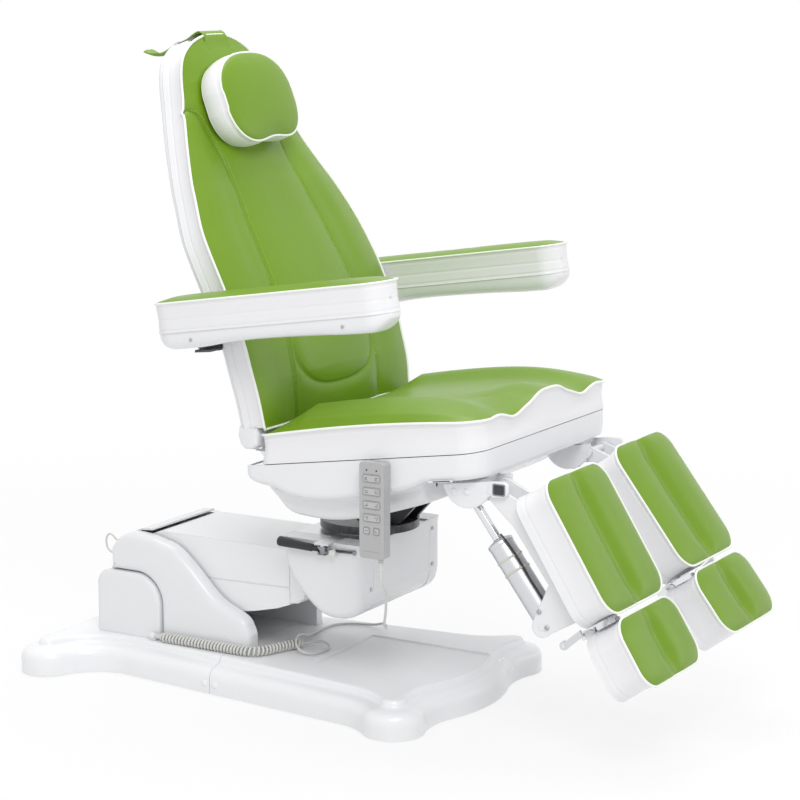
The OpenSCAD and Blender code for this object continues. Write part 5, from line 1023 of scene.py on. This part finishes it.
def back_band(q):
    """Bow of the back's band, with a groove under the piping and one at the joint with the shell."""
    grooves = 1.3*math.exp(-((q - 0.16)/0.025)**2) + 1.6*math.exp(-((q - 0.74)/0.02)**2)
    return (-5.0*math.sin(math.pi*q) - grooves)*mm


foam_pad("back_cushion_cover", back_top, back_base, back_band, 30, "back", "back_cushion", "back_piping",
         (0, -0.9, 0.2), 2.7)
green_thread = skin("green_thread", srgb(165, 205, 100), 0.6, pebbles=3000, depth=0.00003)
for side_name, seam in (("near", long_seam), ("far", far_long_seam)):
    beside_seam = on_back([(s + (0.022 if s < 0 else -0.022), v) for s, v in seam[1:]], 0.2)
    stitches(side_name + "_back_stitches", beside_seam, "back", green_thread)
coat("back_frame", frame_steel)
rear_top = back_point(back_s*0.985, 0.003 + 0.994*back_v, -50.6)[::3, ::3]
rear_base = back_point(back_s*0.94, 0.012 + 0.972*back_v, -67.0)[::3, ::3]
back_moulding = upholster("back_shell_moulding", rear_top, rear_base,
                          lambda q: 4.6*math.sin(math.pi*q)**0.8*mm, steps=8)[0]
for k in range(3):
    back_moulding.data.materials[k] = gloss_white
fit(back_moulding, "back", "white", "back_shell")
apron_outline = [(-14.0, 603.0), (30.0, 603.0), (33.0, 588.0), (30.0, 566.0), (20.0, 557.0), (0.0, 556.0),
                 (-12.0, 566.0), (-17.0, 584.0)]
moulded("back_foot_apron", even(np.array(apron_outline)), 1,
        ((8, -288), (4, -287), (1.4, -284.6), (0, -280), (0, 280), (1.4, 284.6), (4, 287), (8, 288)), "back")

# ---------------------------------------------------------------- head pillow and strap
# A kidney-shaped foam pillow in the same leather, flat at the rear, with a notch for the neck.
# A green strap runs from behind it over the top of the back; its loose end hangs out behind.
head_low, head_up, head_out = np.array((-186.15, 1163.8)), np.array((-.3507, .9365)), np.array((.9365, .3507))
pillow_half, pillow_tall, pillow_thick, pillow_start, pillow_drop = 136.0, 200.0, 66.0, 17.8, 30.0


def pillow_point(s, a, depth):
    """Share across, height along the back and distance out from it."""
    f, z = (low + (a - pillow_drop)*up + depth*out for low, up, out in zip(head_low, head_up, head_out))
    return np.stack([s*pillow_half, -f, z], -1)*mm


def pillow_reach(s, tight):
    """Lowest and highest place of the pillow's outline at a share of its width."""
    half = pillow_tall/2*(1 - np.abs(s)**tight)**(1/2.6)
    notch = 13*hump(s, 0.12, 0.42)
    return pillow_tall/2 - half*0.97 + notch*(half/100), pillow_tall/2 + half*(1 - 0.10*np.abs(s)**2)


pillow_u, pillow_s = np.meshgrid(stations(72, 0.45), (2*stations(84, 0.9) - 1)*0.992)
low, high = pillow_reach(pillow_s, 2.9)
pillow_a = low + (high - low)*pillow_u
round_out = ((1 - np.abs(pillow_s)**2.6)*(1 - np.abs(2*pillow_u - 1)**2.6))**0.5
pillow_top = pillow_point(pillow_s*0.95, pillow_a, pillow_start + pillow_thick - 16 + 15.5*round_out)
pillow_base = pillow_point(pillow_s*0.97, pillow_tall/2 + (pillow_a - pillow_tall/2)*0.98, pillow_start)
pillow_back = np.array([(0, head_out[0], -head_out[1])])
pillow_top = pillow_top + swell(pillow_top, pillow_back, most=5.0, coarse=(40, 34))


def pillow_band(q):
    """Bow of the pillow's band, with a groove under the piping."""
    return (5.0*math.sin(math.pi*min(1.0, q*1.02))**0.8 - 1.3*math.exp(-((q - 0.16)/0.03)**2))*mm


foam_pad("head_pillow_cover", pillow_top, pillow_base, pillow_band, 22, "pillow", "head_pillow",
         "pillow_piping", -pillow_back[0], 2.5, under=white_vinyl)

strap_wide, strap_thick, strap_behind, strap_tail = 84.0, 2.6, 74.0, 104.0
strap_rows, strap_columns = 150, 33
back_end = np.array((back_foot_f - back_lean*1.015, back_foot_z + back_tall))
strap_line = []
for v in np.linspace(0.82, 1.0, 9):
    p = back_point(0.0, v, back_face(0.0, v) + 2.2)/mm
    strap_line.append((-p[1], p[2]))
behind = back_end - strap_behind*head_out
for k in (0.1, 0.35, 0.65, 0.9):
    strap_line.append(tuple(back_end - k*strap_behind*head_out + 10*head_up + np.array((0, 1.2))))
for t, up in ((.15, .04), (.36, -.05), (.58, -.17), (.8, -.18), (1, -.1)):
    strap_line.append((behind[0] - strap_tail*t, behind[1] + strap_tail*up + 1.3))
strap_path, strap_length = spaced(through([(f, z, 0) for f, z in strap_line], 10), strap_rows)
path_way = np.gradient(strap_path, axis=0)
path_way /= np.linalg.norm(path_way, axis=1)[:, None]
strap_normal = np.stack([path_way[:, 1], -path_way[:, 0]], 1)
along = np.linspace(0, 1, strap_rows)
across = np.linspace(-1, 1, strap_columns)
points, strap_area = [], 0.0
for side in (1, -1):
    for k, (p, n) in enumerate(zip(strap_path[:, :2], strap_normal)):
        loose = min(1.0, max(0.0, (along[k] - 0.66)/0.08))
        narrow = min(1.0, max(0.0, (along[k] - 0.5)/0.16))
        width = strap_wide/2*(1 - 0.62*narrow*narrow*(3 - 2*narrow))*(1 - 0.12*loose*math.sin(22*along[k]))
        strap_area += width*strap_length/strap_rows*mm*mm
        for a in across:
            bow = loose*(1.6*math.sin(a*3.1 + along[k]*26) + 1.2*math.cos(a*5 + along[k]*40))
            hem = 0.5*math.exp(-((abs(a) - 0.93)/0.03)**2)
            edge = 1 - 0.75*max(0.0, (abs(a) - 0.97)/0.03)
            q = p + n*(bow + side*(strap_thick/2*edge + hem))
            points.append(at(a*width, q[0], q[1]))
upper = np.arange(strap_rows*strap_columns).reshape(strap_rows, strap_columns)
lower = upper + upper.size
rim = edge_of(strap_rows, strap_columns)
faces = grid_faces(upper.T) + grid_faces(lower) + between([upper[spot] for spot in rim], [lower[spot] for spot in rim])
strap_piece = fit(mesh_piece("head_strap_band", points, faces, [green_vinyl]), "back", "green", "head_strap")

# ---------------------------------------------------------------- armrests
# Each armrest is a long foam pad in green leather with a white band, screwed to a moulded white shell
# that turns on the cross tube of the back.
rest_rear, rest_z, rest_long, rest_wide, rest_thick = -148.0, 857.0, 549.03, 104.0, 60.0
rest_middle, rest_corner = 362.0, rest_wide*0.42
rest_low = [(.004, .3), (.025, .7), (.055, .95), (.11, 1), (.2, .97), (.31, .84), (.45, .8), (.68, .88), (.8, .97),
            (.9, 1), (.935, .96), (.97, .68), (.996, .3)]


def rest_point(side, x, t, h):
    """In the frame of an armrest, which slopes as the seat does: x outward, t along it, h up from its top."""
    f = rest_rear + t*math.cos(seat_slope) - h*math.sin(seat_slope)
    z = rest_z + t*math.sin(seat_slope) + h*math.cos(seat_slope)
    return np.stack([side*rest_middle + x + 0*f, -f, z], -1)*mm


def rounded_half(v, length, half, corner):
    """Half the width of a pad with round corners, at a share of its length."""
    left = np.minimum(np.minimum(v, 1 - v)*length, corner)
    return half - corner + np.sqrt(np.maximum(0, corner**2 - (corner - left)**2))


def band_of(draw, lines, height):
    """The band of a pad: drawn in at mid height, with grooves at seam lines given in mm below the piping."""
    def out(q):
        grooves = sum(1.3*math.exp(-((q*height - at_mm)/1.4)**2) for at_mm in lines)
        return (-draw*math.sin(math.pi*q) - grooves)*mm
    return out


for side, name in both_sides:
    body = name + "_armrest"
    s, v = shares(120, 34, 0.85, 0.5)
    half = rounded_half(v, rest_long, rest_wide/2 - 1.0, rest_corner)
    crown = 9*(1 - s**4)*np.minimum(1, np.minimum(v, 1 - v)*rest_long/rest_corner)**0.7
    top = rest_point(side, s*half, v*rest_long, crown)
    base = rest_point(side, s*half, v*rest_long, -rest_thick)
    down = np.array([(0, -math.sin(seat_slope), -math.cos(seat_slope))])
    top = top + swell(top, down, most=3.5, coarse=(70, 18))
    foam_pad(body + "_pad", top, base, band_of(2.2, (7.0, 33.0, 54.0), rest_thick), 30, body, body + "_cushion",
             body + "_piping", (0, 0, 1.0), 2.1, under=white_vinyl)
    low_line = smooth_line([(q*rest_long, 36.0*d) for q, d in rest_low])
    rings = []
    for q in 0.004 + 0.992*stations(80, 0.75):
        wide = rounded_half(q, rest_long, rest_wide/2 - 3.0, rest_corner) - 0.5
        deep = max(2.0, np.interp(q*rest_long, low_line[:, 0], low_line[:, 1]))
        section = [(wide*np.sign(c)*abs(c)**0.5, -deep*abs(d)**0.62) for c, d in
                   ((math.cos(a), math.sin(a)) for a in np.linspace(0, math.pi, 27))]
        rings.append([rest_point(side, x, q*rest_long, -rest_thick - 0.3 + h) for x, h in section])
    fit(stacked(body + "_shell_moulding", rings, gloss_white), body, "white", body + "_shell")
    coat(body + "_bracket", black_steel)
    for t in (95, 455):
        spot = rest_point(side, side*(rest_wide/2 - 3.0), t, -rest_thick - 17.0)
        screw(body + "_screw_" + str(t), spot, (side, 0, 0), body, head=3.2)

# ---------------------------------------------------------------- leg brackets and frames
# Under each front corner of the seat hangs a moulded white bracket on an upright pin. The leg frame turns
# in it at the knee: two white plates with a carrier plate, sleeves for the slide rods and the pad screwed on.


def rounded_box(width, height, corner, count=6):
    """Outline of a plate with round corners, middle at 0."""
    out = []
    for cx, cy, a0 in ((1, 1, 0), (-1, 1, 90), (-1, -1, 180), (1, -1, 270)):
        for k in range(count + 1):
            a = math.radians(a0 + 90*k/count)
            out.append((cx*(width/2 - corner) + corner*math.cos(a), cy*(height/2 - corner) + corner*math.sin(a)))
    return out


cheek = [(548, 522), (553, 539), (560, 545), (574, 546), (588, 546), (594, 543), (596, 537), (596, 524), (592, 518),
         (584, 515), (562, 513)]
window_f, window_z = 577, 530.5
for side, name in both_sides:
    for part, material in (("_leg_bracket", cover_white), ("_leg_frame", cover_white), ("_foot_carriage", chrome),
                           ("_foot_lever", satin_metal), ("_leg_actuator_rod", chrome),
                           ("_leg_actuator_tube", satin_metal)):
        coat(name + part, material)
    body = name + "_leg_bracket"
    for k, (f, z) in enumerate(((478.0, 517.0), (506.0, 518.5))):
        fit(turned(name + "_bracket_cap_" + str(k), [(7.0, -1), (7.0, 0.6), (6.4, 1.6), (4.6, 2.3), (2.0, 2.6)],
                   at(side*263, f, z), (side, 0, 0), gloss_white), body, "white")
    moulded(name + "_bracket_nose", even(np.array(cheek)), side,
            ((0.6, 255), (0, 255.8), (0, 262), (1.2, 263.4), (3, 264)), body)
    # the dark plate inside each chromed window frame is painted shade for the hole in the bracket
    for part, size_f, size_z, x0, x1, material in (("window_frame", 28, 24, 263.6, 264.7, shaded_chrome),
                                                   ("window", 23, 19, 264.2, 264.9, dark_case)):
        outline = [(window_f + f, window_z + z) for f, z in rounded_box(size_f, size_z, 3.5)]
        moulded(name + "_bracket_" + part, outline, side, ((0, x0), (0, x1)), body, material=material, slot="dark")
    for k, (f, z) in enumerate(((662.0, 297.0), (679.0, 267.0))):
        screw(name + "_leg_plate_screw_" + str(k), at(side*254.0, f, z), (side, 0, 0), name + "_leg", head=5.0)

# ---------------------------------------------------------------- leg and foot pads
# Four foam pads with round corners and a trough along the middle, green on top, white round the band,
# on thin trays. The foot pads tip on steel hinge plates at the end of the sliding carriage.
slopes = {-1: math.radians(58.0), 1: math.radians(52.6)}
knee_f, knee_z, pad_middle, pad_wide, pad_corner = 550.0, 525.0, 155.5, 259.0, 42.0
pad_start, pad_face = 40.0, 125.5


def leg_point(side, x, t, h):
    """In the frame of a leg: x outward, t down the pad, h out of its face."""
    a = slopes[side]
    y = -knee_f - (t + pad_start)*math.cos(a) - (h + pad_face)*math.sin(a)
    z = knee_z - (t + pad_start)*math.sin(a) + (h + pad_face)*math.cos(a)
    return np.stack([side*x + 0*y, y, z], -1)*mm


def leg_ways(side):
    """The way down a leg's pad, and the way that its face looks."""
    a = slopes[side]
    return np.array((0, -math.cos(a), -math.sin(a))), np.array((0, -math.sin(a), math.cos(a)))


for side, name in both_sides:
    down_way, face_way = leg_ways(side)
    for part, body_end, start, length, thick, count in (("calf", "_leg", 0.0, 284.0, 76.0, 110),
                                                        ("foot", "_foot", 297.0, 143.0, 80.0, 80)):
        s, v = shares(count, 76, 0.8, 0.45)
        half = rounded_half(v, length, pad_wide/2 - 1.5, pad_corner)
        end = 1 - np.abs(2*v - 1)
        fall = np.minimum(1, end*length/2/30)
        crown = 9*(1 - s**4)*np.maximum(0, 1 - (1 - fall)**2)**0.5
        trough = 15*hump(s, 0, 0.17)*(0.30 + 0.70*np.minimum(1, end*length/2/46)**0.8)
        top = leg_point(side, pad_middle + s*half, start + v*length, crown - trough)
        base = leg_point(side, pad_middle + s*half, start + v*length, -thick)
        channel = [leg_point(side, pad_middle, start + length*q,
                             9 - 15.0*(0.3 + 0.7*min(1, min(q, 1 - q)*length/46)**0.8))
                   for q in np.linspace(0.04, 0.96, 80)]
        top = top + swell(top, -face_way[None], held=[channel], most=4.5, coarse=(40, 38))
        foam_pad(name + "_" + part + "_pad", top, base, band_of(4.6, (8.0, thick - 17.0), thick), 36,
                 name + body_end, name + "_" + part + "_cushion", name + "_" + part + "_piping", face_way, 2.4,
                 under=white_vinyl)


def plate(name, outline, thick, place, along, up, body, bevel=0.8):
    """A flat metal plate cut to an outline of pairs of mm, with bevelled edges."""
    u, v = Vector(along).normalized(), Vector(up).normalized()
    w = u.cross(v)
    middle = np.mean(outline, axis=0)
    points = []
    for d, e in ((0, bevel), (bevel, 0), (thick - bevel, 0), (thick, bevel)):
        for p in np.asarray(outline, float):
            q = p - (p - middle)/max(1e-6, np.linalg.norm(p - middle))*e
            points.append(Vector(place) + (u*q[0] + v*q[1] + w*d)*mm)
    fit(mesh_piece(name, points, closed_form(4, len(outline)), [satin_metal], smooth=False), body, "steel")


lug_outline = [(-9, -20), (0, -24), (10, -21), (28, -6), (42, 0), (-4, 0), (-9, -8)]
for side, name in both_sides:
    down_way, face_way = leg_ways(side)
    plate(name + "_foot_hinge_plate", rounded_box(150, 118, 8), 5.0, leg_point(side, pad_middle, 365.0, -85.3),
          (side, 0, 0), down_way*-side, name + "_foot")
    for k, x in enumerate((pad_middle - 52.0, pad_middle + 62.0)):
        plate(name + "_foot_hinge_lug_" + str(k), lug_outline, 6.0, leg_point(side, x, 296.0, -80.5), down_way,
              face_way, name + "_foot")

# ---------------------------------------------------------------- leg actuators
# An electric actuator lifts each leg: a satin tube with a bevelled cap, a chromed rod up to the bracket,
# two pale cable ties and a dark lead that runs up beside the tube.
tie_vinyl = skin("tie_nylon", srgb(205, 203, 190), 0.45, pebbles=900, depth=0.00002)
lead_black = skin("lead_rubber", srgb(52, 50, 48), 0.55, pebbles=900, depth=0.00003)
actuator_x, pin_t, pin_h, tube_top = 217.0, 241.4, -163.15, 186.78
cap_profile = [(26.4, -9), (26.9, -8), (26.9, -1), (25.4, 0.6), (16, 4.2), (13, 5), (11.6, 5), (11.6, 1), (9.6, 1)]
wiper_profile = [(9.4, 1.5), (11.4, 2), (11.4, 5.6), (10.2, 6.4), (9.3, 6.4)]
tie_profile = [(26.2, 0), (27.3, 0.3), (27.5, 2.5), (27.3, 4.7), (26.2, 5)]
for side, name in both_sides:
    foot = Vector(leg_point(side, actuator_x, pin_t, pin_h))
    way = (Vector(at(side*actuator_x, 493, 497)) - foot).normalized()
    for part, profile, spot, material, slot, facets in (
            ("_actuator_cap", cap_profile, tube_top, satin_metal, "chrome", 56),
            ("_actuator_wiper", wiper_profile, tube_top, lead_black, "dark", 40),
            ("_cable_tie_0", tie_profile, 0.63*tube_top, tie_vinyl, "pale", 56),
            ("_cable_tie_1", tie_profile, 0.78*tube_top, tie_vinyl, "pale", 56)):
        fit(turned(name + part, [(r, spot + d) for r, d in profile], foot, way, material, sides=facets),
            name + "_leg_actuator", slot)
    front = way.cross(Vector((1, 0, 0))).normalized()
    if front.y > 0:
        front = -front
    lead_line = []
    for d, r, a in ((30, 28, 0.55), (60, 29, 0.57), (90, 29, 0.6), (120, 29, 0.55), (148, 29, 0.55), (170, 30, 0.61),
                    (185, 34, 0.7), (196, 33, 0.75)):
        lead_line.append(foot + (way*d + front*r*math.cos(a) + Vector((side, 0, 0))*r*math.sin(a))*mm)
    fit(drawn(name + "_actuator_lead", lead_line, 2.0*mm, lead_black), name + "_leg_actuator", "dark")

# ---------------------------------------------------------------- handset
# A flat light grey case hangs on the side of the seat. Four wide rocker keys and two push keys carry thin
# dark outlines and plain printed marks; two small lamps sit above them.
case_grey = skin("handset_case", srgb(176, 176, 177), 0.42, pebbles=900, depth=0.00003, coat=0.05, drift=0.02)
key_grey = skin("handset_key", srgb(184, 185, 184), 0.45, pebbles=900, depth=0.00002, drift=0.02)
mark_grey = skin("mark_ink", srgb(48, 50, 54), 0.5, pebbles=900, depth=0.00001)
coat("handset_body", case_grey)
for node in ("lift_key", "recline_key", "tilt_key", "leg_key", "flat_key", "entry_key"):
    coat(node, key_grey)
case_f, case_z, case_wide, case_tall, case_face = 298.0, 375.0, 56.0, 194.0, -325.0
ink = 0.12
key_x = case_face - 0.94


def marks(name, shapes, body, x):
    """Printed marks, a hair thick, on the plane at x: outlines of (forward, up) points that are filled, or a pair
    of outlines with the ink between them."""
    points, faces = [], []
    for shape in shapes:
        start = len(points)
        if isinstance(shape, tuple):
            outer, inner = shape
            layers = ((outer, 0), (inner, 0), (inner, -ink), (outer, -ink))
            rings = numbered(4, len(outer), start)
            faces += [face for a, b in zip(rings, rings[1:] + rings[:1]) for face in between(a, b)]
        else:
            layers = ((shape, 0), (shape, -ink))
            faces += closed_form(2, len(shape), start)
        points += [at(x + d, f, z) for outline, d in layers for f, z in outline]
    fit(mesh_piece(name, points, faces, [mark_grey], smooth=False), body, "dark")


def framed(f, z, width, height, corner, line=0.7):
    """A thin line round a key, as a pair of outlines."""
    return tuple([(f + p, z + q) for p, q in rounded_box(width - 2*e, height - 2*e, corner - e)] for e in (0, line))


def bar_mark(f, z, width, height, lean=0.0):
    """A short bar, upright or leaning."""
    return [(f - width/2 + lean, z - height/2), (f + width/2 + lean, z - height/2),
            (f + width/2 - lean, z + height/2), (f - width/2 - lean, z + height/2)]


def wedge(f, z, size, way):
    """A small arrow head, pointing up or down."""
    return [(f - size, z - way*size*0.6), (f + size, z - way*size*0.6), (f, z + way*size*0.8)]


rockers = {
    "lift_key": (.835, lambda f, z, s: [
        bar_mark(f, z - 3.2, 7, 1.0), wedge(f, z + 1.4, 2.2, s), bar_mark(f - 2.6, z - 0.6, 0.9, 4)]),
    "recline_key": (.7, lambda f, z, s: [
        bar_mark(f + 1.2, z - 2.6, 6, 1.0), bar_mark(f - 2.4, z + 0.4, 1.0, 6, 0.8), wedge(f + 2.4, z + 1.6, 1.5, s)]),
    "tilt_key": (.56, lambda f, z, s: [
        bar_mark(f, z - 1.4, 7.4, 1.0), wedge(f + 2.0, z + 2.0, 1.6, s), wedge(f, z - 4.0, 1.3, 1)]),
    "leg_key": (.425, lambda f, z, s: [
        bar_mark(f - 1.6, z + 1.6, 5, 1.0), bar_mark(f + 1.8, z - 1.2, 1.0, 5, -0.8), wedge(f + 3.6, z + 2.4, 1.4, s)]),
}
for node, (share, icon) in rockers.items():
    f, z = case_f + case_wide/2, case_z + share*case_tall
    shapes = [framed(f, z, case_wide*0.68, case_wide*0.26, 3.4)]
    for s in (-1, 1):
        shapes += icon(f + s*11.5, z, -s)
    marks(node + "_marks", shapes, node, key_x)
z = case_z + 0.29*case_tall
flat_f, entry_f = case_f + .3*case_wide, case_f + .7*case_wide
for node, f, bars in (("flat_key", flat_f, [bar_mark(flat_f, z, 6, 1.0)]),
                      ("entry_key", entry_f, [bar_mark(entry_f - 0.8, z - 1.4, 5, 1.0),
                                              bar_mark(entry_f - 3, z + 1.4, 1.0, 4, 0.6)])):
    marks(node + "_marks", [framed(f, z, case_wide*0.23, case_wide*0.23, 2.6)] + bars, node, key_x)
for k, f in enumerate((flat_f, entry_f)):
    fit(turned("handset_lamp_" + str(k), [(1.9, 0), (1.9, 0.5), (1.5, 0.9), (0.6, 1.15)],
               at(case_face + 0.3, f, case_z + 0.92*case_tall), (-1, 0, 0), mark_grey, sides=24), "seat", "dark")
